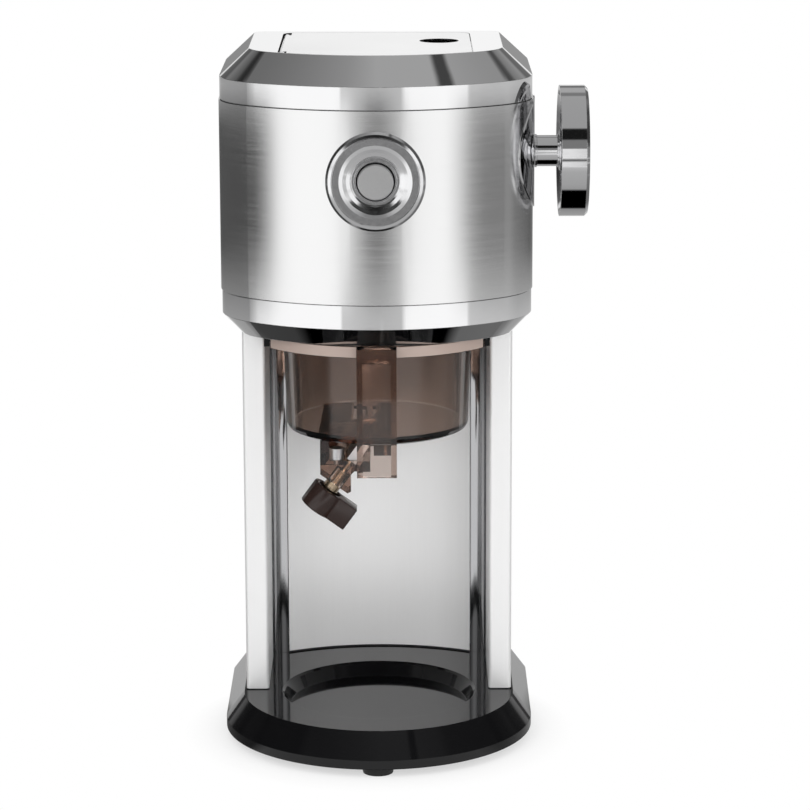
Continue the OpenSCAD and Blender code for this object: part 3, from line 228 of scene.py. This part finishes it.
def studio_colour(s):
    """What a shiny surface shows in each direction."""
    way = s.add("TexCoord").outputs["Generated"]
    x, y, z = s.put(s.add("SeparateXYZ"), i0=way).outputs
    ahead = s.math("MULTIPLY", y, -1.0)
    height = s.math("ADD", s.math("DIVIDE", s.math("ARCSINE", z), math.pi), 0.5)
    turn = s.angle(x, ahead)
    over = s.angle(z, ahead)
    across = s.math("ADD", s.math("MULTIPLY", x, 0.5), 0.5)

    shell, bands = s.ramp_round(turn, SHELL_WALL), s.ramp_round(turn, BAND_WALL)
    wall = s.mix(s.ramp_up(height, BAND_HEIGHTS), shell, bands)
    wall = s.mix(s.ramp_up(height, WALL_FOOT), BLACK, wall)

    sides, crown = s.ramp_round(turn, VAULT_SIDES), s.ramp(across, VAULT_CROWN)
    dimming = s.mix(s.ramp_up(height, CROWN_START), sides, crown)
    vault = s.math("MULTIPLY", s.ramp_round(over, VAULT), dimming)
    room = s.mix(s.ramp_up(height, HORIZON), wall, vault)

    slit = s.math("MULTIPLY", s.ramp_round(turn, SLIT_TURN), s.ramp_up(height, SLIT_HEIGHTS))
    return s.mix(slit, room, WHITE)


def add_world():
    """White for the camera, plain light for matt surfaces, and the studio for shiny ones."""
    world = bpy.data.worlds.new("studio")
    scene.world = world
    s = Shader(world)
    path = s.add("LightPath").outputs
    shiny = s.put(s.add("Background"), Color=studio_colour(s), Strength=1.0).outputs[0]
    plain = s.put(s.add("Background"), Color=WHITE, Strength=PLAIN_LIGHT).outputs[0]
    white = s.put(s.add("Background"), Color=WHITE, Strength=1.0).outputs[0]
    lit = s.either(path["Is Glossy Ray"], plain, shiny)
    s.put(s.add("OutputWorld"), Surface=s.either(s.seen(path), lit, white))


# The floor is a round sheet: its radius in metres, its rings and its sides
FLOOR_RADIUS, FLOOR_RINGS, FLOOR_SIDES = 1.0, 40, 96
FLOOR_COLOUR = 0.92
# The share of plain white over the floor's shadow, by metres from the middle
FLOOR_WHITE = [(0.0, 0.3), (0.085, 0.6), (0.112, 1.0)]
# What a shiny surface shows of the floor: by slant, from 0 straight down on it to 1 along it,
# times the share by degrees round the object
FLOOR_SLANT = [
    (0.08, 0.0), (0.11, 0.34), (0.2, 0.38), (0.5, 0.42), (0.62, 0.5), (0.69, 0.98), (1.0, 0.98),
]
FLOOR_ROUND = [
    (-180, 0.9), (-132, 0.8), (-122, 0.12), (-64, 0.12), (-56, 1.0), (48, 1.0), (60, 0.4),
    (125, 0.35), (140, 0.8), (180, 0.9),
]


def floor_mesh():
    verts, faces = [(0.0, 0.0, 0.0)], []
    for ring in range(1, FLOOR_RINGS + 1):
        r = FLOOR_RADIUS * ring / FLOOR_RINGS
        verts += [(r * math.cos(2 * math.pi * i / FLOOR_SIDES),
                   r * math.sin(2 * math.pi * i / FLOOR_SIDES), 0.0) for i in range(FLOOR_SIDES)]
    faces += [(0, 1 + i, 1 + (i + 1) % FLOOR_SIDES) for i in range(FLOOR_SIDES)]
    for ring in range(FLOOR_RINGS - 1):
        a, b = 1 + ring * FLOOR_SIDES, 1 + (ring + 1) * FLOOR_SIDES
        faces += [(a + i, b + i, b + (i + 1) % FLOOR_SIDES, a + (i + 1) % FLOOR_SIDES)
                  for i in range(FLOOR_SIDES)]
    mesh = bpy.data.meshes.new("floor")
    mesh.from_pydata(verts, [], faces)
    mesh.polygons.foreach_set("use_smooth", [True] * len(faces))
    return mesh


def add_floor():
    """A pale floor that keeps the object's shadow, and goes over to white further out."""
    mesh = floor_mesh()
    floor = bpy.data.objects.new("floor", mesh)
    scene.collection.objects.link(floor)
    floor.location = (0.0, 0.0, floor_z)
    mat = bpy.data.materials.new("floor")
    s = Shader(mat)
    place = s.add("TexCoord").outputs["Object"]
    x, y, _ = s.put(s.add("SeparateXYZ"), i0=place).outputs
    turn = s.angle(x, s.math("MULTIPLY", y, -1.0))
    far = s.put(s.add("VectorMath", operation="LENGTH"), i0=place).outputs["Value"]
    real = s.put(s.add("BsdfDiffuse"), Color=rgba(FLOOR_COLOUR)).outputs[0]
    white = s.put(s.add("Emission"), Color=WHITE, Strength=1.0).outputs[0]
    facing = s.put(s.add("LayerWeight"), Blend=0.5).outputs["Facing"]
    glow = s.math("MULTIPLY", s.ramp(facing, FLOOR_SLANT), s.ramp_round(turn, FLOOR_ROUND))
    shown = s.put(s.add("Emission"), Color=glow, Strength=1.0).outputs[0]
    path = s.add("LightPath").outputs
    near = s.either(s.math("MULTIPLY", s.seen(path), s.ramp(far, FLOOR_WHITE)), real, white)
    s.put(s.add("OutputMaterial"), Surface=s.either(path["Is Glossy Ray"], near, shown))
    mesh.materials.append(mat)


# Lamps: name, place, target and size in metres, power in watts
LAMPS = (
    ("key", (-1.1, -1.4, 1.5), (0, 0, 0.2), 1.2, 12.0),
    ("fill", (1.4, -0.9, 1.0), (0, 0, 0.2), 1.2, 5.0),
    ("front", (0.3, -2.0, 0.35), (0, 0, 0.12), 1.0, 18.0),
)


def add_lamp(name, place, target, size, power):
    """A soft square lamp, left out of reflections."""
    data = bpy.data.lights.new(name, "AREA")
    data.shape = "SQUARE"
    data.size = size
    data.energy = power
    lamp = bpy.data.objects.new(name, data)
    scene.collection.objects.link(lamp)
    lamp.location = place
    lamp.rotation_euler = (Vector(target) - Vector(place)).to_track_quat("-Z", "Y").to_euler()
    lamp.visible_glossy = False


add_world()
add_floor()
for lamp_values in LAMPS:
    add_lamp(*lamp_values)


# Materials: radii and depths are in metres, and noise scales are per metre
METAL, PLASTIC = 1.0, 0.0
BEVEL_SAMPLES = 4
# The range where most of a noise value lies
NOISE_LOW, NOISE_HIGH = 0.3, 0.7
# Brushing: how much finer it is across its lines than along them, and what its fine and its
# broad noise add to it
BRUSHING_SQUEEZE, FINE_SHARE, BROAD_SHARE = 60.0, 0.7, 0.3


def principled(name, colour, metallic, roughness, **sockets):
    mat = bpy.data.materials.new(name)
    s = Shader(mat)
    bsdf = s.add("BsdfPrincipled")
    s.put(bsdf, Base_Color=rgba(colour), Metallic=metallic, Roughness=roughness, **sockets)
    s.put(s.add("OutputMaterial"), Surface=bsdf.outputs[0])
    return mat, s, bsdf


def noise(s, scale, squeeze=(1.0, 1.0, 1.0), detail=3.0, rough=0.55):
    """A noise value at a place on the piece; squeeze makes it finer along an axis."""
    place = s.put(s.add("Mapping"), Vector=s.add("TexCoord").outputs["Object"], Scale=squeeze)
    node = s.put(s.add("TexNoise"), Vector=place.outputs[0], Scale=scale, Detail=detail,
                 Roughness=rough)
    return node.outputs["Fac"]


def spread(s, value, low, high):
    """A noise value, spread so that it goes from low to high."""
    node = s.put(s.add("MapRange"), Value=value, i1=NOISE_LOW, i2=NOISE_HIGH, i3=low, i4=high)
    return node.outputs[0]


def uneven(s, value, colour, shade):
    """A colour that goes from its darker shade to itself with a noise value."""
    dark = rgba([c * shade for c in colour])
    return s.mix(spread(s, value, 0.0, 1.0), dark, rgba(colour))


def rounded(s, radius):
    return s.put(s.add("Bevel", samples=BEVEL_SAMPLES), Radius=radius).outputs[0]


def relief(s, bsdf, height, strength, depth, edge=None):
    """A fine relief on a surface, and edges rounded by a radius where one is given."""
    bump = s.put(s.add("Bump"), Strength=strength, Distance=depth, Height=height)
    if edge:
        s.put(bump, Normal=rounded(s, edge))
    s.put(bsdf, Normal=bump.outputs[0])


def round_axis(s, axis):
    return s.add("Tangent", direction_type="RADIAL", axis=axis).outputs[0]


def brushed(name, colour, lines, roughness, anisotropic, metallic=METAL):
    """Satin steel. lines is "level" for brushing round the upright axis, or "upright"."""
    mat, s, bsdf = principled(name, colour, metallic, roughness, Anisotropic=anisotropic)
    finer = BRUSHING_SQUEEZE
    squeeze = (1.0, 1.0, finer) if lines == "level" else (finer, finer, 1.0)
    fine = noise(s, scale=60.0, squeeze=squeeze, detail=4.0, rough=0.6)
    broad = noise(s, scale=9.0, squeeze=squeeze, detail=2.0)
    both = s.math("ADD", s.math("MULTIPLY", fine, FINE_SHARE),
                  s.math("MULTIPLY", broad, BROAD_SHARE))
    s.put(bsdf, Roughness=spread(s, both, low=roughness - 0.03, high=roughness + 0.04),
          Base_Color=uneven(s, both, colour, shade=0.97), Tangent=round_axis(s, "Z"))
    relief(s, bsdf, fine, strength=0.15, depth=0.00001, edge=0.0003)
    return mat


def satin(name, colour, roughness):
    """Fine-blasted steel with an even soft sheen and no direction."""
    mat, s, bsdf = principled(name, colour, METAL, roughness)
    film = noise(s, scale=700.0)
    cloud = noise(s, scale=20.0, detail=2.0)
    s.put(bsdf, Roughness=spread(s, cloud, low=roughness * 0.9, high=roughness * 1.15),
          Base_Color=uneven(s, film, colour, shade=0.97))
    relief(s, bsdf, film, strength=0.1, depth=0.00001, edge=0.0003)
    return mat


def polished(name, colour, roughness):
    """Mirror metal with a faint film and wipe marks."""
    mat, s, bsdf = principled(name, colour, METAL, roughness)
    film = noise(s, scale=40.0)
    wipe = noise(s, scale=130.0, squeeze=(1.0, 1.0, 8.0), detail=2.0)
    both = s.math("MULTIPLY", s.math("ADD", film, wipe), 0.5)
    s.put(bsdf, Roughness=spread(s, both, low=roughness * 0.75, high=roughness * 1.3))
    relief(s, bsdf, film, strength=0.06, depth=0.0001, edge=0.0004)
    return mat


def turned(name, colour, axis, roughness, edge=0.0003):
    """Metal turned on a lathe round the axis X, Y or Z of the piece."""
    mat, s, bsdf = principled(name, colour, METAL, roughness, Anisotropic=0.5)
    film = noise(s, scale=500.0)
    s.put(bsdf, Roughness=spread(s, film, low=roughness * 0.8, high=roughness * 1.25),
          Tangent=round_axis(s, axis), Normal=rounded(s, edge))
    return mat


def moulded(name, colour, roughness, grain=0.00001, scale=900.0, edge=0.0004, **sockets):
    """Moulded plastic or rubber, with a faint grain and an uneven gloss."""
    mat, s, bsdf = principled(name, colour, PLASTIC, roughness, **sockets)
    fine = noise(s, scale)
    broad = noise(s, scale=25.0)
    s.put(bsdf, Roughness=spread(s, broad, low=roughness * 0.8, high=roughness * 1.3),
          Base_Color=uneven(s, broad, colour, shade=0.85))
    relief(s, bsdf, fine, strength=0.3, depth=grain, edge=edge)
    return mat


# Clear plastic: its gloss; how fast a leaning wall stops being upright, which 4 does by 30
# degrees; how much of the tint level faces take; and how much of it is left at the rims of
# walls, where the ramp by slant puts them
CLEAR_ROUGHNESS, CLEAR_IOR = 0.03, 1.49
UPRIGHT_FALL = 4.0
LEVEL_TINT, RIM_TINT = 0.5, 0.28
RIM_START = [(0.35, 0.0), (0.75, 1.0)]


def smoked(name, tint, density, colour):
    """Clear smoke-brown plastic, tinted at its faces and, by a colour and a density, in its
    depth. Upright walls are darker at their rims, and level faces are clearer."""
    mat, s, bsdf = principled(name, (1.0, 1.0, 1.0), PLASTIC, CLEAR_ROUGHNESS,
                              Transmission_Weight=1.0, IOR=CLEAR_IOR)
    flow = noise(s, scale=18.0, squeeze=(1.0, 1.0, 0.4), detail=2.0)
    fine = noise(s, scale=300.0, detail=2.0)
    rise = s.put(s.add("SeparateXYZ"), i0=s.add("NewGeometry").outputs["Normal"]).outputs[2]
    slope = s.math("MULTIPLY", s.math("MULTIPLY", rise, rise), UPRIGHT_FALL)
    upright = s.math("SUBTRACT", 1.0, slope, clamp=True)
    facing = s.put(s.add("LayerWeight"), Blend=0.5).outputs["Facing"]
    rim = s.math("MULTIPLY", s.ramp(facing, RIM_START), upright)
    wall = uneven(s, flow, tint, shade=0.94)
    face = s.mix(upright, rgba([1.0 - LEVEL_TINT + LEVEL_TINT * c for c in tint]), wall)
    s.put(bsdf,
          Roughness=spread(s, flow, low=CLEAR_ROUGHNESS * 0.6, high=CLEAR_ROUGHNESS * 1.6),
          Base_Color=s.mix(rim, face, rgba([c * RIM_TINT for c in tint])))
    relief(s, bsdf, fine, strength=0.1, depth=0.00004)
    depth = s.put(s.add("VolumeAbsorption"), Color=rgba(colour), Density=density)
    s.tree.links.new(depth.outputs[0], s.tree.nodes["Material Output"].inputs["Volume"])
    return mat


# The black of the real rubber parts, also used for the strips of painted shade in the seams
RUBBER_AND_SEAM_SHADE_BLACK = (0.012, 0.012, 0.012)
BRIGHT = (0.88, 0.88, 0.89)
SMOKE_DEPTH = (0.47, 0.246, 0.096)
materials = {
    "black_gloss": moulded("black_gloss", (0.004, 0.004, 0.0045), roughness=0.06, IOR=1.38),
    "rubber": moulded("rubber", RUBBER_AND_SEAM_SHADE_BLACK, roughness=0.6, grain=0.00004, scale=1500.0),
    # Painted shade: a black for the strips that stand in for the shadow in the seams between parts
    "painted_seam_shade": moulded("painted_seam_shade", RUBBER_AND_SEAM_SHADE_BLACK, roughness=0.5, grain=0.00002, scale=1500.0,
                      edge=0.0001),
    "bright_steel": turned("bright_steel", BRIGHT, "Z", roughness=0.14),
    "shell_steel": brushed("shell_steel", (0.95, 0.95, 0.95), "level", roughness=0.11,
                           anisotropic=0.95),
    "upright_steel": brushed("upright_steel", (0.92, 0.92, 0.92), "upright", roughness=0.42,
                             anisotropic=0.3, metallic=0.55),
    "panel_steel": brushed("panel_steel", (0.95, 0.95, 0.95), "upright", roughness=0.4,
                           anisotropic=0.5, metallic=0.35),
    "cap_steel": satin("cap_steel", (0.85, 0.85, 0.85), roughness=0.36),
    "lid_steel": satin("lid_steel", (0.93, 0.93, 0.93), roughness=0.1),
    "mirror_steel": polished("mirror_steel", (0.94, 0.94, 0.945), roughness=0.035),
    "strip_steel": polished("strip_steel", (0.5, 0.5, 0.51), roughness=0.10),
    "wheel_chrome": polished("wheel_chrome", BRIGHT, roughness=0.05),
    "button_steel": turned("button_steel", (0.93, 0.93, 0.94), "Y", roughness=0.11),
    "plain_steel": turned("plain_steel", (0.72, 0.72, 0.73), "Z", roughness=0.35),
    "cast_alloy": polished("cast_alloy", (0.55, 0.56, 0.57), roughness=0.45),
    "brass": turned("brass", (0.76, 0.64, 0.49), "Z", roughness=0.2, edge=0.0001),
    "smoke": smoked("smoke", (0.68, 0.59, 0.54), density=60.0, colour=SMOKE_DEPTH),
    "smoke_block": smoked("smoke_block", (0.75, 0.68, 0.64), density=90.0, colour=SMOKE_DEPTH),
    # Painted highlight: a pale colour for the strips that stand in for the glint on the flange's
    # front edge
    "painted_flange_highlight": moulded("painted_flange_highlight", (0.36, 0.285, 0.25), roughness=0.15, edge=0.0002),
    "smoke_handle": smoked("smoke_handle", (0.78, 0.71, 0.67), density=90.0,
                           colour=(0.447, 0.216, 0.087)),
    "brown_plastic": moulded("brown_plastic", (0.022, 0.012, 0.010), roughness=0.18,
                             edge=0.0006),
}

# The material of each CAD node: the one that it has here by name, or else that of its slot
by_slot = {
    "black_gloss": "black_gloss",
    "rubber": "rubber",
    "bright_steel": "bright_steel",
    "brushed_steel": "upright_steel",
    "chrome": "mirror_steel",
    "plain_steel": "plain_steel",
    "cast_alloy": "cast_alloy",
    "brass": "brass",
    "smoke_plastic": "smoke",
    "brown_plastic": "brown_plastic",
}
by_node = {
    "head_shell": "shell_steel",
    "back_panel": "panel_steel",
    "hatch_lid": "lid_steel",
    "left_corner_strip": "strip_steel",
    "right_corner_strip": "strip_steel",
    "button_bezel": "button_steel",
    "button_cap": "cap_steel",
    "crank_neck": "wheel_chrome",
    "handwheel": "wheel_chrome",
    "wheel_nut": "wheel_chrome",
    "crank_escutcheon": "wheel_chrome",
    "bowl_handle": "smoke_handle",
    "blade_carrier": "smoke_block",
    "clamp_screw": "plain_steel",
}
slot_of = {row["node"]: row["material_slot"] for row in frame["record"]["subparts"]}
for node_name, obj in nodes.items():
    chosen = materials[by_node.get(node_name) or by_slot[slot_of[node_name]]]
    obj.data.materials.clear()
    obj.data.materials.append(chosen)
    obj.data.polygons.foreach_set("material_index", [0] * len(obj.data.polygons))


# Strips of painted shade and painted highlight
def painted_strip(name, inner, outer, low, high, closed, body="stand", material="painted_seam_shade", slot="rubber"):
    """A strip of rectangular section between two plan lines and two heights, riding on a body:
    painted shade or a painted highlight, by its material.
    """
    count = len(inner)
    verts = [(*p, z) for i in range(count) for p, z in (
        (inner[i], low), (outer[i], low), (outer[i], high), (inner[i], high))]
    faces = []
    for i in range(count if closed else count - 1):
        a, b = 4 * i, 4 * ((i + 1) % count)
        faces += [(a + k, b + k, b + (k + 1) % 4, a + (k + 1) % 4) for k in range(4)]
    if not closed:
        faces += [(3, 2, 1, 0), tuple(4 * (count - 1) + k for k in range(4))]
    mesh = bpy.data.meshes.new(name)
    mesh.from_pydata(verts, [], faces)
    mesh.validate()
    piece = bpy.data.objects.new(name, mesh)
    scene.collection.objects.link(piece)
    mesh.materials.append(materials[material])
    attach(piece, body)


def arc(cx, cy, r, start, end, steps):
    """Points on a circle round (cx, cy), from one angle to another in degrees."""
    angles = [math.radians(start + (end - start) * k / steps) for k in range(steps + 1)]
    return [(cx + r * math.cos(angle), cy + r * math.sin(angle)) for angle in angles]


# The head's plan: the radius of its front corners, how far their centres lie to the front, and
# the radius of its rear corners, in metres. Then the steps of each arc.
HEAD_CORNER, HEAD_FORWARD, HEAD_REAR_CORNER = 0.044, 0.004, 0.022
FRONT_STEPS, CORNER_STEPS, REAR_STEPS = 48, 32, 24


def head_line(inset):
    """The plan of the head, inset by a distance: a flat front arc, four corner arcs, and the
    straight sides and rear between them."""
    (_, low_y, _), (half, high_y, _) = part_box("bottom_ring")
    corner, forward, rear_corner = HEAD_CORNER, HEAD_FORWARD, HEAD_REAR_CORNER
    corner_x = half - corner
    reach = -low_y - forward
    front = (corner_x ** 2 + reach ** 2 - corner ** 2) / (2 * (reach - corner))
    front_cy = front + low_y
    swing = math.degrees(math.atan2(corner_x, front_cy + forward))
    rear_x, rear_y = half - rear_corner, high_y - rear_corner
    line = arc(0.0, front_cy, front - inset, -90 - swing, -90 + swing, FRONT_STEPS)
    line += arc(corner_x, -forward, corner - inset, -90 + swing, 0, CORNER_STEPS)[1:]
    line += arc(rear_x, rear_y, rear_corner - inset, 0, 90, REAR_STEPS)
    line += arc(-rear_x, rear_y, rear_corner - inset, 90, 180, REAR_STEPS)
    line += arc(-corner_x, -forward, corner - inset, 180, 270 - swing, CORNER_STEPS)[:-1]
    return line


PANEL_THICKNESS, PANEL_STEPS = 0.0012, 64
COLUMN_CORNER, COLUMN_STEPS = 0.002, 8


def panel_line(proud):
    """The front line of the curved back panel, brought forward by a distance."""
    (_, front, _), (half, rear, _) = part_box("back_panel")
    sag = rear - PANEL_THICKNESS - front
    r = (half ** 2 + sag ** 2) / (2 * sag)
    swing = math.degrees(math.asin(half / r))
    return arc(0.0, rear - PANEL_THICKNESS - r, r - proud, 90 + swing, 90 - swing, PANEL_STEPS)


def column_line(column, out):
    """The plan of a column, grown by a distance, with rounded corners at the front."""
    (x0, y0, _), (x1, y1, _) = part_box(column)
    r = COLUMN_CORNER
    return (arc(x0 + r, y0 + r, r + out, 180, 270, COLUMN_STEPS)
            + arc(x1 - r, y0 + r, r + out, 270, 360, COLUMN_STEPS)
            + [(x1 + out, y1), (x0 - out, y1)])


# Black strips of painted shade in the seams below and above the shell, and at the feet of the back
# panel and the columns: their heights, and the distances that put their inner and outer lines in
# place
SHELL_SEAM, SHELL_SEAM_INSETS = 0.0004, (0.0004, 0.00005)
PANEL_SEAM, PANEL_SEAM_PROUD = 0.0009, (0.0001, 0.0005)
COLUMN_SEAM, COLUMN_SEAM_OUT = 0.0005, (-0.0001, 0.00025)

(_, _, shell_low), (_, _, shell_high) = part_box("head_shell")
for seam_name, seam_z in (("lower_seam", shell_low - SHELL_SEAM), ("upper_seam", shell_high)):
    painted_strip(seam_name, *(head_line(inset) for inset in SHELL_SEAM_INSETS),
         seam_z, seam_z + SHELL_SEAM, closed=True)
base_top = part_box("base_cover")[1][2]
painted_strip("panel_foot", *(panel_line(proud) for proud in PANEL_SEAM_PROUD),
     base_top, base_top + PANEL_SEAM, closed=False)
for column in ("left_column", "right_column"):
    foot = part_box(column)[0][2]
    painted_strip(column + "_foot", *(column_line(column, out) for out in COLUMN_SEAM_OUT),
         foot, foot + COLUMN_SEAM, closed=True)

# The strips of painted highlight on the front edge of the bowl's flange, on both sides of the
# handle, a pale
# colour painted where the edge glints: what the flange's front radius has over half its width, and
# the flange's thickness; then the strips' thickness, and their distances from the flange's ends
# and from its upper and lower edges
FLANGE_BOW, FLANGE_THICKNESS, FLANGE_STEPS = 0.0152, 0.0065, 24
HIGHLIGHT_THICKNESS, HIGHLIGHT_END, HIGHLIGHT_INSET = 0.0003, 0.0008, 0.0003
(flange_left, flange_front, _), (flange_right, _, flange_top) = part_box("bowl")
flange_r = flange_right + FLANGE_BOW
handle_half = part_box("bowl_handle")[1][0]


def flange_line(proud, start, end):
    """The curved front edge of the bowl's flange between two places across it."""
    first, last = (math.degrees(math.asin(x / flange_r)) for x in (start, end))
    return arc(0.0, flange_front + flange_r, flange_r + proud, -90 + first, -90 + last,
               FLANGE_STEPS)


for highlight_name, start, end in (("left_flange_highlight", flange_left + HIGHLIGHT_END, -handle_half),
                             ("right_flange_highlight", handle_half, flange_right - HIGHLIGHT_END)):
    painted_strip(highlight_name, flange_line(0.0, start, end), flange_line(HIGHLIGHT_THICKNESS, start, end),
         flange_top - FLANGE_THICKNESS + HIGHLIGHT_INSET, flange_top - HIGHLIGHT_INSET, closed=False,
         body="bowl", material="painted_flange_highlight", slot="smoke_plastic")

# The knob with rounded edges: the width of the rounding and its segments, the distance below
# which points are one, and in degrees the bend that counts as flat, the bend above which an
# edge is rounded, and the bend above which its shading stays sharp
KNOB_ROUNDING, KNOB_SEGMENTS = 0.0009, 3
SAME_POINT = 1e-6
FLAT_BEND, ROUNDED_BEND, SHARP_BEND = 1.0, 40, 35


def softened(source, name):
    """A copy of a mesh with its sharp edges rounded."""
    shape = bmesh.new()
    shape.from_mesh(source)
    bmesh.ops.remove_doubles(shape, verts=shape.verts, dist=SAME_POINT)
    bmesh.ops.dissolve_limit(shape, angle_limit=math.radians(FLAT_BEND), verts=shape.verts,
                             edges=shape.edges)
    sharp = [e for e in shape.edges
             if len(e.link_faces) == 2 and e.calc_face_angle() > math.radians(ROUNDED_BEND)]
    bmesh.ops.bevel(shape, geom=sharp, offset=KNOB_ROUNDING, segments=KNOB_SEGMENTS,
                    profile=0.5, affect="EDGES", clamp_overlap=True)
    mesh = bpy.data.meshes.new(name)
    shape.to_mesh(mesh)
    shape.free()
    for polygon in mesh.polygons:
        polygon.use_smooth = True
    mesh.set_sharp_from_angle(angle=math.radians(SHARP_BEND))
    mesh.materials.clear()
    mesh.materials.append(source.materials[0])
    return mesh


knob = bpy.data.objects.new("knob_body", softened(nodes["adjust_knob"].data, "knob_body"))
scene.collection.objects.link(knob)
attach(knob, "knob")
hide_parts("adjust_knob")

# The button's spring, as a copy with a mesh of its own that rides on the stand
spring = bpy.data.objects.new("release_spring", nodes["button_spring"].data.copy())
scene.collection.objects.link(spring)
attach(spring, "stand")
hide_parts("button_spring")
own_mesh(spring)


bpy.context.view_layer.update()
